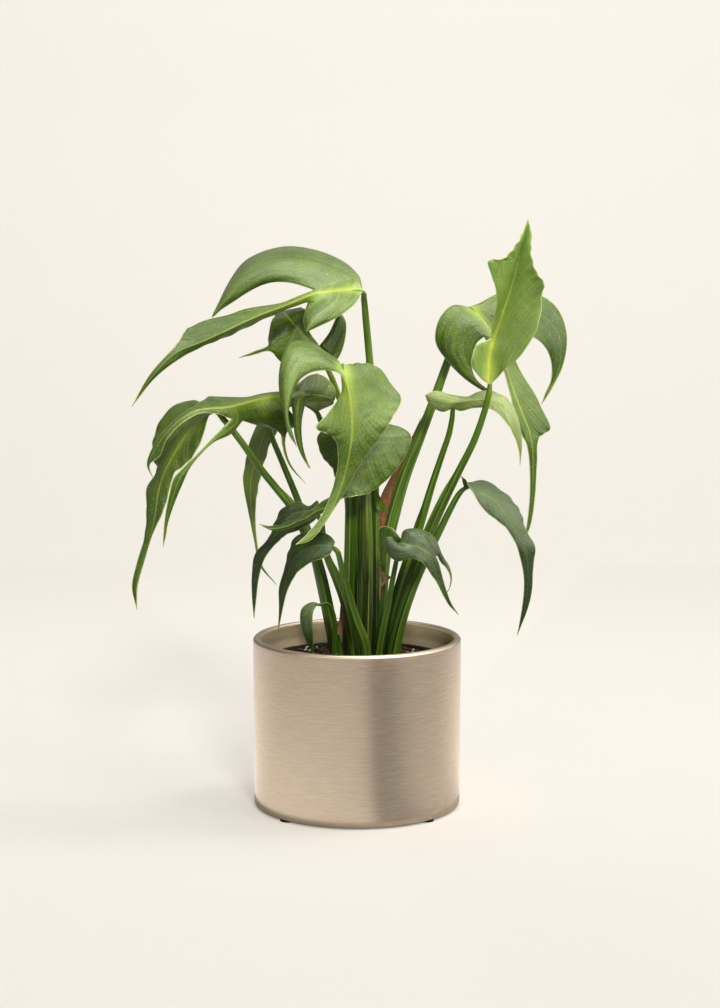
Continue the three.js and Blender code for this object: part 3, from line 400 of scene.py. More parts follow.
def leaf_group():
    """Colour, roughness and relief of a blade, read from its own fields in millimetres."""
    inputs = {
        "Blade": (105, 131, 34), "Deep": (74, 102, 12), "Rib": (180, 200, 70),
        "Margin": (208, 216, 134), "Under": (146, 164, 80), "Tip": (150, 120, 60),
        "Far": (54, 86, 12), "Glow": 0.8, "Rib Width": 1.6, "Veins": 0.26, "Satin": 0.26,
    }
    tree, given, ends = new_group("leaf pattern", inputs, PATTERN_OUTPUTS)
    rib, side_rib, margin = field(tree, "rib"), field(tree, "side_rib"), field(tree, "margin")
    vein, show = field(tree, "vein"), field(tree, "vein_show")
    rise, under = field(tree, "rise"), field(tree, "under")
    place = stretched(tree, (1.0, 1.0, 1.0))

    # Clouds, grain, and streaks and lines that wander a little from the true side veins.
    cloud = speckle(tree, place, CLOUD_SCALE, 5.0, 0.6)
    grain = speckle(tree, place, GRAIN_SCALE, 3.0)
    sway = calc(tree, "SUBTRACT", speckle(tree, place, WANDER_SCALE), 0.5)
    run = plus(tree, vein, times(tree, sway, WANDER))
    values = {"X": calc(tree, "DIVIDE", run, STREAK_WIDTH), "Y": calc(tree, "DIVIDE", rib, STREAK_LENGTH)}
    streak = speckle(tree, add(tree, "ShaderNodeCombineXYZ", values).outputs[0], 1.0, 4.0, 0.6)
    away, main = vein_lines(tree, run, MAIN_VEIN_GAP)
    between, fine = vein_lines(tree, run, FINE_VEIN_GAP)
    lines = times(tree, calc(tree, "MAXIMUM", main, times(tree, fine, 0.4)), show)
    lines = times(tree, lines, band(tree, cloud, 0.3, 0.6, 0.4, 1.0))
    lines = times(tree, lines, band(tree, rise, 0.2, 0.9, 1.0, 0.4))

    # The body's colour, from the deep tone to the light one, and outwards to the far tone: painted shade
    # that darkens the blade towards its tip and away from the midrib. On a few leaves the far tone is
    # lighter, as painted sheen.
    tone = calc(tree, "MULTIPLY_ADD", streak, 0.35, times(tree, cloud, 0.65))
    body = mixed(tree, band(tree, tone, 0.34, 0.62), given["Deep"], given["Blade"])
    body = mixed(tree, times(tree, band(tree, grain, 0.36, 0.7), 0.3), body, given["Blade"])
    outer = calc(tree, "MAXIMUM", band(tree, rise, 0.3, 1.0), band(tree, rib, NEAR_RIB, FAR_FROM_RIB))
    body = mixed(tree, times(tree, outer, 0.7), body, given["Far"])
    lit = mixed(tree, times(tree, lines, given["Veins"]), body, given["Rib"])
    specks = times(tree, band(tree, grain, 0.58, 0.76), 0.4)
    lit = mixed(tree, specks, lit, given["Margin"])

    # The midrib: a glow round its base, its own line that narrows to the tip, and side ribs.
    near_base = band(tree, rise, 0.6, 0.0)
    glow = times(tree, times(tree, band(tree, rib, NEAR_RIB, 0.0), near_base), given["Glow"])
    lit = mixed(tree, glow, lit, given["Rib"])
    taper = times(tree, given["Rib Width"], calc(tree, "SUBTRACT", 1.1, rise))
    line = band(tree, calc(tree, "DIVIDE", rib, taper), 1.5, 0.4)
    line = times(tree, line, band(tree, rise, 1.0, 0.35, 0.3, 1.0))
    side_line = times(tree, band(tree, side_rib, 1.1, 0.2), 0.25)
    line = calc(tree, "MAXIMUM", line, side_line)
    lit = mixed(tree, times(tree, line, 0.8), lit, given["Rib"])

    # The underside, the pale margin and the dried tip.
    shade = mixed(tree, times(tree, tone, given["Veins"]), given["Under"], given["Blade"])
    shade = mixed(tree, times(tree, line, 0.7), shade, given["Rib"])
    both = mixed(tree, under, lit, shade)
    edge = band(tree, margin, MARGIN_LINE, MARGIN_LINE * 0.4)
    both = mixed(tree, times(tree, edge, 0.7), both, given["Margin"])
    done = mixed(tree, times(tree, band(tree, rise, 0.985, 1.0), 0.6), both, given["Tip"])

    # Gloss, and a relief that swells between the side veins.
    rough = calc(tree, "MULTIPLY_ADD", cloud, 0.12, times(tree, streak, 0.1))
    rough = plus(tree, rough, given["Satin"])
    rough = plus(tree, rough, times(tree, under, 0.16))
    quilt = calc(tree, "POWER", times(tree, away, 2.0), 0.5)
    height = calc(tree, "MULTIPLY_ADD", streak, 0.4, times(tree, quilt, 0.6))
    height = calc(tree, "MULTIPLY_ADD", between, 0.3, height)
    height = plus(tree, height, times(tree, grain, 1.3))
    height = times(tree, height, calc(tree, "MULTIPLY_ADD", show, 0.7, 0.3))
    connect(tree, ends, Color=done, Roughness=rough, Height=height)
    return tree


LEAF_PATTERN = leaf_group()
LEAF_LOOKS = {
    "leaf_bright": {},
    # The upright leaf's look: its lighter, bluer greens are painted sheen, standing for a satin reflection
    # that its slope does not catch.
    "leaf_fresh": {
        "Blade": (148, 172, 92), "Deep": (118, 146, 62), "Rib": (222, 232, 124),
        "Far": (154, 180, 102), "Veins": 0.4, "Rib Width": 2.8,
    },
    # The centre leaf's far tone is lighter: painted sheen on its tail.
    "leaf_centre": {"Far": (110, 138, 56)},
    "leaf_mid": {
        "Blade": (102, 128, 34), "Deep": (70, 98, 10), "Rib": (172, 192, 70),
        "Under": (124, 146, 62), "Far": (52, 82, 10), "Glow": 0.55,
    },
    "leaf_dark": {
        "Blade": (92, 110, 66), "Deep": (56, 76, 36), "Rib": (110, 136, 60),
        "Margin": (150, 166, 84), "Under": (92, 114, 54), "Glow": 0.15,
        "Far": (34, 54, 20), "Rib Width": 0.8, "Veins": 0.14, "Satin": 0.3,
    },
    # The two low leaves: their own dark green, made darker still as painted shade under the canopy.
    "leaf_deep": {
        "Blade": (60, 84, 22), "Deep": (32, 54, 8), "Rib": (98, 124, 48),
        "Margin": (160, 176, 90), "Under": (84, 108, 42), "Far": (30, 52, 8),
        "Glow": 0.15, "Rib Width": 0.6, "Veins": 0.12, "Satin": 0.32,
    },
    # The two pale leaves: partly their own lighter green, and partly painted light for the light shining
    # through them and their sheen.
    "leaf_pale": {
        "Blade": (180, 192, 132), "Deep": (158, 172, 104), "Rib": (190, 206, 110),
        "Under": (112, 134, 48), "Far": (156, 176, 100), "Glow": 0.3,
        "Rib Width": 0.9,
    },
    "green_bract": {
        "Blade": (110, 148, 42), "Deep": (76, 116, 24), "Rib": (150, 178, 70),
        "Glow": 0.1, "Rib Width": 0.4,
    },
    "dry_sheath": {
        "Blade": (172, 112, 64), "Deep": (114, 68, 38), "Rib": (196, 130, 84),
        "Margin": (92, 50, 36), "Under": (140, 76, 46), "Tip": (80, 44, 34),
        "Glow": 0.0, "Rib Width": 0.3, "Satin": 0.6,
    },
}
blade_materials = {
    look: new_material(look, LEAF_PATTERN, values, bump=(0.55, 0.0008), Coat_Weight=0.5,
                       Coat_Roughness=0.2, Subsurface_Weight=0.2, Subsurface_Scale=0.002,
                       Subsurface_Radius=(0.5, 1.0, 0.15))
    for look, values in LEAF_LOOKS.items()
}
print("blade materials:", sorted(blade_materials))

# %% [markdown]
# A stalk is smooth and waxy, with faint lines along it. Its lower part is a sheath: two thin lips beside a
# groove, whose edges dry out to a pale or a purple brown line. Those lips are part of the stalk's section,
# and a field marks their crests. Near the soil the stalk and its groove are painted darker, as painted
# shade where the stalks crowd together.

# %% Stalk pattern


def stalk_group():
    """Colour, roughness and relief of a stalk, from the fields `around`, `along` and `crest`."""
    inputs = {
        "Light": (132, 164, 48), "Dark": (62, 98, 10), "Edge": (184, 186, 106),
        "Dry": (78, 44, 42), "Dry Share": 0.35,
    }
    tree, given, ends = new_group("stalk pattern", inputs, PATTERN_OUTPUTS)
    along, crest = field(tree, "along"), field(tree, "crest")
    around, low = field(tree, "around"), field(tree, "low")
    place = stretched(tree, (1.0, 1.0, 1.0))
    values = {"X": times(tree, along, 0.008), "Y": times(tree, around, 5.0)}
    lengthwise = add(tree, "ShaderNodeCombineXYZ", values).outputs[0]
    streaks = speckle(tree, lengthwise, 1.6, 4.0, 0.65)
    blotch = speckle(tree, place, 45.0, 3.0)
    body = mixed(tree, band(tree, streaks, 0.34, 0.66), given["Dark"], given["Light"])
    # Painted shade: darker towards the soil, where `low` rises.
    body = mixed(tree, times(tree, low, 0.45), body, given["Dark"])
    body = mixed(tree, times(tree, band(tree, blotch, 0.55, 0.75), 0.2), body, given["Light"])
    dried = band(tree, blotch, calc(tree, "SUBTRACT", 0.85, given["Dry Share"]), 0.9)
    # Painted shade in the sheath's groove, near the soil.
    groove = times(tree, band(tree, around, 0.2, 0.05), low)
    body = mixed(tree, times(tree, groove, 0.75), body, given["Dark"])
    lip = mixed(tree, dried, given["Edge"], given["Dry"])
    done = mixed(tree, band(tree, crest, 0.72, 0.95), body, lip)
    rough = calc(tree, "MULTIPLY_ADD", streaks, 0.14, 0.34)
    connect(tree, ends, Color=done, Roughness=rough, Height=streaks)
    return tree


STALK_PATTERN = stalk_group()
STALK_LOOKS = {
    "green": ({}, (0.25, 0.0002), 0.3),
    "dark": ({"Light": (150, 172, 58), "Dark": (36, 62, 6), "Dry Share": 0.52}, (0.25, 0.0002), 0.3),
    "dry": ({"Light": (138, 94, 66), "Dark": (66, 42, 32), "Edge": (200, 166, 130)}, (0.5, 0.0004), 0.0),
}
stalk_materials = {
    look: new_material("stalk_" + look, STALK_PATTERN, values, bump=bump, Coat_Weight=coat)
    for look, (values, bump, coat) in STALK_LOOKS.items()
}
print("stalk materials:", sorted(stalk_materials))

# %% [markdown]
# The planter is champagne-coloured metal, brushed while it turned, so its fine lines run level round the
# wall and stretch every reflection upwards. Noise squeezed in height gives the lines, and anisotropic gloss
# stretches the reflections. Rubber, grow-pot plastic and potting mix are duller, and share a plain mottled
# pattern with their own colours and grain; the grow pot's near-black is also painted shade at the soil's
# edge.

# %% Planter, pot and soil patterns
FINE_BRUSH, BROAD_BRUSH, CLOUDS = (90.0, 90.0, 2200.0), (40.0, 40.0, 1000.0), (9.0, 9.0, 9.0)


def brushed_group():
    """Level brush lines: noise whose height is squeezed to a fraction of a millimetre."""
    inputs = {"Metal": (224, 212, 195), "Shade": (209, 195, 177), "Polish": 0.22}
    tree, given, ends = new_group("brushed metal", inputs, PATTERN_OUTPUTS)
    fine = speckle(tree, stretched(tree, FINE_BRUSH), 1.0, 3.0, 0.6)
    broad = speckle(tree, stretched(tree, BROAD_BRUSH), 1.0, 3.0)
    cloud = speckle(tree, stretched(tree, CLOUDS), 1.0)
    lines = calc(tree, "MULTIPLY_ADD", fine, 0.75, times(tree, broad, 0.25))
    tone = calc(tree, "MULTIPLY_ADD", cloud, 0.25, times(tree, lines, 0.75))
    done = mixed(tree, band(tree, tone, 0.3, 0.7), given["Shade"], given["Metal"])
    rough = calc(tree, "MULTIPLY_ADD", lines, 0.08, given["Polish"])
    connect(tree, ends, Color=done, Roughness=rough, Height=lines)
    return tree


def mottled_group():
    """Two colours by a coarse noise, with a fine grain in the relief and the gloss."""
    inputs = {"Main": (60, 60, 60), "Other": (30, 30, 30), "Coarse": 60.0,
              "Fine": 700.0, "Dullness": 0.6}
    tree, given, ends = new_group("mottled", inputs, PATTERN_OUTPUTS)
    place = stretched(tree, (1.0, 1.0, 1.0))
    coarse = speckle(tree, place, given["Coarse"], 5.0, 0.6)
    fine = speckle(tree, place, given["Fine"], 3.0)
    both = calc(tree, "MULTIPLY_ADD", fine, 0.4, times(tree, coarse, 0.6))
    done = mixed(tree, band(tree, both, 0.35, 0.62), given["Main"], given["Other"])
    rough = calc(tree, "MULTIPLY_ADD", fine, 0.2, given["Dullness"])
    connect(tree, ends, Color=done, Roughness=rough, Height=both)
    return tree


BRUSHED = brushed_group()
MOTTLED = mottled_group()
BRUSH_BUMP = (0.03, 0.0001)
brushed_metal = new_material("brushed_metal", BRUSHED, bump=BRUSH_BUMP, Metallic=1.0,
                             Anisotropic=0.5, Anisotropic_Rotation=0.25)
tree = brushed_metal.node_tree
tangent = add(tree, "ShaderNodeTangent", direction_type="RADIAL", axis="Z").outputs[0]
tree.links.new(tangent, tree.nodes["Principled BSDF"].inputs["Tangent"])
DULL_LIP = {"Metal": (186, 176, 162), "Shade": (172, 162, 147), "Polish": 0.3}
lip_metal = new_material("lip_metal", BRUSHED, DULL_LIP, bump=BRUSH_BUMP, Metallic=1.0)

MOTTLED_LOOKS = {
    "planter_inside": ((244, 224, 192), (232, 212, 180), {"Coarse": 30.0, "Dullness": 0.42}, (0.1, 0.0001)),
    "foot_rubber": ((34, 33, 32), (22, 22, 21), {}, (0.2, 0.0002)),
    # The grow pot's plastic is near black: its own colour, kept that dark as painted shade in the gap
    # between soil and planter too.
    "grow_pot_plastic": ((30, 31, 28), (20, 21, 19), {}, (0.15, 0.0002)),
    "potting_mix": ((58, 38, 28), (22, 14, 11),
                    {"Coarse": 260.0, "Fine": 1500.0, "Dullness": 0.72}, (0.9, 0.001)),
    "bark": ((112, 66, 42), (52, 28, 19), {"Coarse": 220.0}, (0.7, 0.0006)),
    "perlite": ((238, 236, 228), (206, 202, 192), {"Coarse": 500.0}, (0.5, 0.0004)),
}
mottled_materials = {
    look: new_material(look, MOTTLED, {"Main": main, "Other": other, **grain}, bump=bump)
    for look, (main, other, grain, bump) in MOTTLED_LOOKS.items()
}
print("materials:", len(bpy.data.materials))

# %% [markdown]
# The planter is one spun cylinder with a floor, a slope inside and a full round lip. It could be a
# primitive with bevels. Its section is instead written out once and turned about the axis, so the
# lip and the bottom edge have true arcs, and highlights run round them evenly. The lip is duller
# than the wall and the inside hardly reflects at all, so each of the three takes its own finish.

# %% Planter
LIP_RADIUS = 3.15
PLANTER_SECTION = (
    [(0, 1.1), (70, 1.1)] + arc((87.5, 3.1), 2.0, -1, 0, 10) + [(89.6, 20), (89.8, 80), (90, 140)]
    + arc((90 - LIP_RADIUS, 148.1 - LIP_RADIUS), LIP_RADIUS, 0, 2, 24)
    + [(83.75, 142), (83.8, 139.4), (84.6, 135.4), (84.95, 133.3), (85, 132), (85, 80), (85, 8)]
    + arc((83, 6.1), 2.0, 0, -1, 8) + [(60, 4.1), (0, 4.1)]
)
PLANTER_SIDES = 256
INSIDE_RADIUS, INSIDE_FLOOR, INSIDE_TOP, LIP_STARTS = 85.5, 3.0, 146.6, 146.2
points, faces = turned(PLANTER_SECTION, PLANTER_SIDES)
middles = points[faces].mean(axis=1)
within = np.hypot(middles[:, 0], middles[:, 1]) < INSIDE_RADIUS
inside = within & (middles[:, 2] > INSIDE_FLOOR) & (middles[:, 2] < INSIDE_TOP)
finish = np.where(inside, 1, np.where(middles[:, 2] > LIP_STARTS, 2, 0))
planter = new_piece("planter_visual", points, faces,
                    [brushed_metal, mottled_materials["planter_inside"], lip_metal], finish)
stands_for(planter, "planter")
print("planter:", len(faces), "triangles")

# %% [markdown]
# The pads under the planter are plain rubber discs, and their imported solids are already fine
# enough. They only take a finish.

# %% Feet
for name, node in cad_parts.items():
    if name.startswith("planter_foot"):
        node.data.materials.clear()
        node.data.materials.append(mottled_materials["foot_rubber"])
        print("foot:", name)

# %% [markdown]
# The grow pot is a thin moulded cup with a stepped rim and five drain holes. It is a turned
# section too, with small rounds where a mould would have them. The holes are cut by a Boolean, and
# the cut mesh is kept as it is, with no live modifier.

# %% Grow pot
POT_SECTION = (
    [(0, 4.4), (55, 4.4)] + arc((61, 6.4), 2.0, -1, 0, 6)
    + [(70.4, 60), (78.8, 120.6), (79.2, 121), (80.6, 121), (81, 121.4), (81, 127.6), (80.6, 128)]
    + [(77.9, 128), (77.5, 127.6), (77.5, 121), (69.2, 60), (61.7, 6.7), (60.7, 5.7), (0, 5.7)]
)
POT_SIDES = 160
DRAIN_HOLES, DRAIN_RADIUS, DRAIN_RING = 5, 5.0, 40.0
points, faces = turned(POT_SECTION, POT_SIDES)
grow_pot = new_piece("grow_pot_visual", points, faces, [mottled_materials["grow_pot_plastic"]])
post, post_faces = turned([(0, 3), (DRAIN_RADIUS, 3), (DRAIN_RADIUS, 8), (0, 8)], 24)
posts = np.vstack([post + (DRAIN_RING * np.cos(a), DRAIN_RING * np.sin(a), 0) for a in circle(DRAIN_HOLES)])
post_faces = np.vstack([post_faces + k * len(post) for k in range(DRAIN_HOLES)])
cutter = new_piece("drain_cutter", posts, post_faces, [])
cut = grow_pot.modifiers.new("drain holes", "BOOLEAN")
cut.operation, cut.solver, cut.object = "DIFFERENCE", "EXACT", cutter
finished = grow_pot.evaluated_get(bpy.context.evaluated_depsgraph_get())
grow_pot.data = bpy.data.meshes.new_from_object(finished)
grow_pot.modifiers.clear()
bpy.data.objects.remove(cutter)
stands_for(grow_pot, "grow_pot")
print("grow pot:", len(grow_pot.data.polygons), "faces")

# %% [markdown]
# Potting mix is a crumbly bed with chips of bark on top and a few white grains of perlite. The bed
# is a disc whose heights come from broad waves plus many short ones of random direction. The chips
# are small faceted lumps, squashed and turned at random, which catch light as real bark does.

# %% Soil
SOIL_TOP, SOIL_FLOOR, SOIL_RADIUS = 125.0, 6.0, 77.2
SOIL_RINGS, SPOKES = 80, 240
BROAD_HEIGHT = 1.3
SHORT_WAVES, SHORTEST, LENGTH_RANGE, SHORT_HEIGHT = 60, 3.0, 9.0, 0.012
random = np.random.default_rng(11)
random_waves = random.uniform(0, 1, (SHORT_WAVES, 3)) * (2 * np.pi, 2 * np.pi, 1)


def soil_height(x, y):
    """Millimetres of height: broad crossing waves, and many short ones of random heading."""
    heading, turn = random_waves[:, 0], random_waves[:, 1]
    length = SHORTEST + LENGTH_RANGE * random_waves[:, 2]
    along = x[..., None] * np.cos(heading) + y[..., None] * np.sin(heading)
    short = (np.sin(along * 2 * np.pi / length + turn) * length).sum(-1) * SHORT_HEIGHT
    coarse = 0.8 * np.sin(0.13 * x + 1.1) * np.cos(0.11 * y - 0.4)
    fine = 0.6 * np.sin(0.37 * x - 0.29 * y) * np.cos(0.33 * y + 0.21 * x)
    return SOIL_TOP + BROAD_HEIGHT * (coarse + fine) + short


rings = np.linspace(0, SOIL_RADIUS, SOIL_RINGS)[1:]
turn = circle(SPOKES)
x, y = rings[:, None] * np.cos(turn), rings[:, None] * np.sin(turn)
z = soil_height(x, y)
wall_radius = np.array([SOIL_RADIUS, 69.0, 61.1])
wall = np.stack([wall_radius[:, None] * np.cos(turn), wall_radius[:, None] * np.sin(turn),
                 np.repeat([[121.0], [60.0], [SOIL_FLOOR]], SPOKES, axis=1)], axis=2)
bed = np.concatenate([np.stack([x, y, z], axis=2), wall])
count = len(bed) * SPOKES
bed_faces = np.vstack([
    grid_triangles(bed, closed=True, flip=True),
    fan(count, 0, SPOKES),
    fan(count + 1, count - SPOKES, SPOKES, flip=True),
])
bed_points = np.vstack([bed.reshape(-1, 3), [[0, 0, z[0].mean()], [0, 0, SOIL_FLOOR]]])
print("soil bed:", len(bed_faces), "triangles")

# %% [markdown]
# One lump is a ball of 42 points: an icosahedron whose edges are halved once. A whole heap of lumps
# is made at a time by multiplying that ball with an array of random sizes and turns.

# %% Bark chips and perlite
CHIPS, CHIP_LIFT, CHIP_SMALLEST, CHIP_LARGEST = 620, 0.4, (1.6, 1.0, 0.5), (4.6, 2.6, 1.5)
BEADS, BEAD_LIFT, BEAD_SMALLEST, BEAD_LARGEST = 110, 0.7, 0.7, 1.8


def ball():
    """The 42 points and 80 faces of an icosahedron with halved edges, on the unit ball."""
    golden = (1 + 5 ** 0.5) / 2
    upright = [(0, a, b * golden) for a in (-1, 1) for b in (-1, 1)]
    level = [(a, b, 0) for _, a, b in upright] + [(b, 0, a) for _, a, b in upright]
    corners = np.array(upright + level)
    reach = np.linalg.norm(corners[:, None] - corners[None], axis=2)
    near = (reach > 0.1) & (reach < 2.1)
    triples = [(i, j, k) for i in range(12) for j in range(i + 1, 12) for k in range(j + 1, 12)
               if near[i, j] and near[j, k] and near[i, k]]
    middles, faces = {}, []
    points = list(corners)

    def middle(i, j):
        key = (min(i, j), max(i, j))
        if key not in middles:
            middles[key] = len(points)
            points.append((corners[i] + corners[j]) / 2)
        return middles[key]

    for i, j, k in triples:
        if np.dot(np.cross(corners[j] - corners[i], corners[k] - corners[i]), corners[i]) < 0:
            j, k = k, j
        ij, jk, ki = middle(i, j), middle(j, k), middle(k, i)
        faces += [(i, ij, ki), (j, jk, ij), (k, ki, jk), (ij, jk, ki)]
    return unit(np.array(points)), np.array(faces)


def lumps(centres, sizes, rough):
    """Balls squashed to sizes, dented by rough, turned at random and put at centres."""
    shape, faces = ball()
    count = len(centres)
    dents = 1 + rough * random.uniform(-1, 1, (count, len(shape), 1))
    tilt, spin = random.normal(0, 0.35, count), random.uniform(0, 2 * np.pi, count)
    points = shape[None] * dents * sizes[:, None]
    cos, sin = np.cos(tilt)[:, None], np.sin(tilt)[:, None]
    up = points[..., 1] * sin + points[..., 2] * cos
    down = points[..., 1] * cos - points[..., 2] * sin
    cos, sin = np.cos(spin)[:, None], np.sin(spin)[:, None]
    points = np.stack([points[..., 0] * cos - down * sin, points[..., 0] * sin + down * cos, up], 2)
    points = points + centres[:, None]
    all_faces = faces[None] + (np.arange(count) * len(shape))[:, None, None]
    return points.reshape(-1, 3), all_faces.reshape(-1, 3)


def scattered(count, lift, to_right):
    """Random places on the soil. The share to_right of them is moved to its right half."""
    radius = SOIL_RADIUS * 0.965 * np.sqrt(random.uniform(0, 1, count))
    turn = random.uniform(0, 2 * np.pi, count)
    x, y = radius * np.cos(turn), radius * np.sin(turn)
    x = np.where(random.uniform(0, 1, count) < to_right, np.abs(x), x)
    return np.stack([x, y, soil_height(x, y) + lift], axis=1)


places = scattered(CHIPS, CHIP_LIFT, 0.0)
chips, chip_faces = lumps(places, random.uniform(CHIP_SMALLEST, CHIP_LARGEST, (CHIPS, 3)), 0.16)
places = scattered(BEADS, BEAD_LIFT, 0.4)
beads, bead_faces = lumps(places, random.uniform(BEAD_SMALLEST, BEAD_LARGEST, (BEADS, 3)), 0.12)
faces = np.vstack([bed_faces, chip_faces + len(bed_points), bead_faces + len(bed_points) + len(chips)])
picks = np.repeat([0, 1, 2], [len(bed_faces), len(chip_faces), len(bead_faces)])
soil = new_piece("soil_visual", np.vstack([bed_points, chips, beads]), faces,
                 [mottled_materials[look] for look in ("potting_mix", "bark", "perlite")], picks)
soil.data.polygons.foreach_set("use_smooth", picks == 0)
stands_for(soil, "soil")
print("soil:", len(faces), "triangles with its chips and beads")

# %% [markdown]
# A leaf grew as one piece: a stalk, a midrib, and a blade on each side of it. Each side is drawn as
# finger-like lobes, from the stalk outwards, and then a plain margin to the tip. All lists are
# [across, down, toward] points on the front picture.
#
# - `stalk` runs from the soil up, and its fourth number is its radius in millimetres.
# - `midrib` runs from the stalk to the leaf's tip.
# - a lobe spans two midrib points. `near` and `far` are its edges and `tip` its end. `rib` is its
#   side vein, which without a drawing of its own runs midway between the edges.
# - `edge` is the margin beside the midrib points that no lobe takes.

# %% How finely a blade is cut
STEPS_ALONG = 12
STEPS_OUT = 6
ACROSS = np.array([0, 0.02, 0.05, 0.1, 0.17, 0.27, 0.39, 0.52, 0.65, 0.77, 0.87, 0.94, 0.98, 1])
HALF_THICKNESS = 0.3
EDGE_THICKNESS = 0.13
SMOOTHING_ROUNDS, SMOOTHING_PULL = 14, 0.6
VEIN_SLANT = 2.2
VEIN_CURVE = 0.65
LOBE_RISE = 0.12

# %% [markdown]
# A blade can't be one flat grid, because its lobes branch. It is sewn from patches. A lobe patch
# starts on its stretch of midrib and narrows to its tip, and the edge patch fills the rest. The
# patches share their border points exactly, so they weld into one sheet.

# %% Patches of one side of a blade


def bowed(start, middle, end, share):
    """The parabola through start, middle and end, at a share from 0 to 1."""
    rest = 1 - share
    return start * rest * (1 - 2 * share) + middle * 4 * share * rest + end * share * (2 * share - 1)


def to_edge(rows, root, outline, tip):
    """A straight line from the midrib to an outline's first point, then its curve to the tip."""
    outward = np.minimum(rows, 1)
    inside = root * (1 - outward) + outline[0] * outward
    return np.where(rows < 1, inside, rail(np.vstack([outline, tip]))(rows[:, 0] - 1))


def patches(midrib, side, sign):
    """Patches of one side: (grid, flip, vein, rise) for each, and the rib lines of its lobes.

    A lobe's row at step t is the parabola through its near edge, rib and far edge at t. While
    t < 1 it is pulled onto the midrib by 1 - t. Between midrib and margin a row is straight.
    vein is the length along the midrib at which a side vein starts, and rise the share of the
    midrib that lies below.
    """
    spine = rail(midrib)
    last = len(midrib) - 1
    lengths = lengths_along(spine(np.arange(last * STEPS_ALONG + 1) / STEPS_ALONG))

    def measure(steps):
        """Millimetres along the midrib at a point number."""
        return np.interp(steps, np.arange(len(lengths)) / STEPS_ALONG, lengths)

    made, ribs, sinus, start = [], [], None, 0
    for lobe in side.get("lobes", []):
        first, end = lobe["span"]
        tip = seen(lobe["tip"])
        near, far = seen(lobe["near"]), seen(lobe["far"])
        if sinus is not None:
            near = np.vstack([sinus, near])
        middle = spine(np.array([(first + end) / 2]))
        centre = seen(lobe["rib"]) if "rib" in lobe else (near + far) / 2
        roots = spine(np.array([first, end], float))
        rows = np.concatenate([ACROSS, 1 + np.arange(1, len(far) * STEPS_OUT + 1) / STEPS_OUT])[:, None]
        share = np.arange((end - first) * STEPS_ALONG + 1) / ((end - first) * STEPS_ALONG)
        if sinus is None:
            near_line = rail(np.vstack([roots[:1], near, tip]))(rows[:, 0])
        else:
            near_line = to_edge(rows, roots[0], near, tip)
        far_line = to_edge(rows, roots[1], far, tip)
        rib_line = rail(np.vstack([middle, centre, tip]))(rows[:, 0])
        grid = bowed(near_line[:, None], rib_line[:, None], far_line[:, None], share[None, :, None])
        root_row = spine(first + share * (end - first))
        straight = bowed(roots[:1], middle, roots[1:], share[:, None])
        grid = grid + np.maximum(0, 1 - rows)[:, None] * (root_row - straight)[None]
        width = np.linalg.norm(far_line - near_line, axis=1)
        vein = measure((first + end) / 2) + (share[None] - 0.5) * width[:, None]
        rise = np.broadcast_to((first + share * (end - first)) / last, grid.shape[:2])
        rise = rise + LOBE_RISE * np.minimum(rows, 3)
        made.append((grid, sign < 0, vein, rise))
        ribs.append(rib_line)
        sinus, start = far[:1], end
    edge = np.vstack([sinus if sinus is not None else midrib[:1], seen(side["edge"]), midrib[-1:]])
    rows = np.arange(start * STEPS_ALONG, last * STEPS_ALONG + 1) / STEPS_ALONG
    inner, outer = spine(rows)[:, None], rail(edge)(rows - start)[:, None]
    grid = inner + (outer - inner) * ACROSS[None, :, None]
    reach = np.linalg.norm(outer - inner, axis=2)
    vein = measure(rows)[:, None] - VEIN_SLANT * reach * ACROSS[None] ** VEIN_CURVE
    rise = np.broadcast_to((rows / last)[:, None], grid.shape[:2])
    made.append((grid, sign > 0, vein, rise))
    return made, ribs


# %% [markdown]
# The patches of both sides are welded where their points coincide. Drawn lines leave small creases
# where two patches meet, and a growing leaf has none, so every inner point moves a little towards
# the mean of its neighbours. It moves only along its normal, which keeps the outline as drawn.

# %% One welded sheet
POINTS_AT_A_TIME = 1500


def welded(grids):
    """Unique points of many patches, their triangles, and the first value of each field."""
    points = np.vstack([grid.reshape(-1, 3) for grid, _, _, _ in grids])
    _, chosen, numbers = np.unique(np.round(points, 3), axis=0, return_index=True, return_inverse=True)
    numbers = numbers.ravel()
    faces, start = [], 0
    for grid, flip, _, _ in grids:
        faces.append(numbers[grid_triangles(grid, start, flip)])
        start += grid.shape[0] * grid.shape[1]
    faces = np.vstack(faces)
    whole = (faces != np.roll(faces, 1, axis=1)).all(axis=1)
    fields = [np.concatenate([np.ravel(g[k]) for g in grids])[chosen] for k in (2, 3)]
    return points[chosen], faces[whole], fields


def edges_of(faces):
    """The three directed edges of every triangle."""
    return np.vstack([faces[:, [0, 1]], faces[:, [1, 2]], faces[:, [2, 0]]])


def open_edges(faces):
    """The directed edges that only one triangle has: the border of a sheet."""
    edges = edges_of(faces)
    size = faces.max() + 1
    forward, back = edges[:, 0] * size + edges[:, 1], edges[:, 1] * size + edges[:, 0]
    return edges[~np.isin(forward, back)]


def point_normals(points, faces):
    """Unit normals at the points, from the areas and normals of the triangles round each."""
    a, b, c = (points[faces[:, k]] for k in range(3))
    normal = np.cross(b - a, c - a)
    total = np.zeros_like(points)
    for k in range(3):
        np.add.at(total, faces[:, k], normal)
    return unit(total)


def eased(points, faces, fixed, rounds):
    """Points moved along their normals towards the mean of their neighbours, except fixed ones."""
    edges = np.unique(np.sort(edges_of(faces), axis=1), axis=0)
    count = np.bincount(edges.ravel(), minlength=len(points))[:, None]
    for _ in range(rounds):
        total = np.zeros_like(points)
        np.add.at(total, edges[:, 0], points[edges[:, 1]])
        np.add.at(total, edges[:, 1], points[edges[:, 0]])
        normal = point_normals(points, faces)
        pull = total / np.maximum(count, 1) - points
        pull = normal * (pull * normal).sum(1, keepdims=True)
        points = points + np.where(fixed[:, None], 0, SMOOTHING_PULL * pull)
    return points


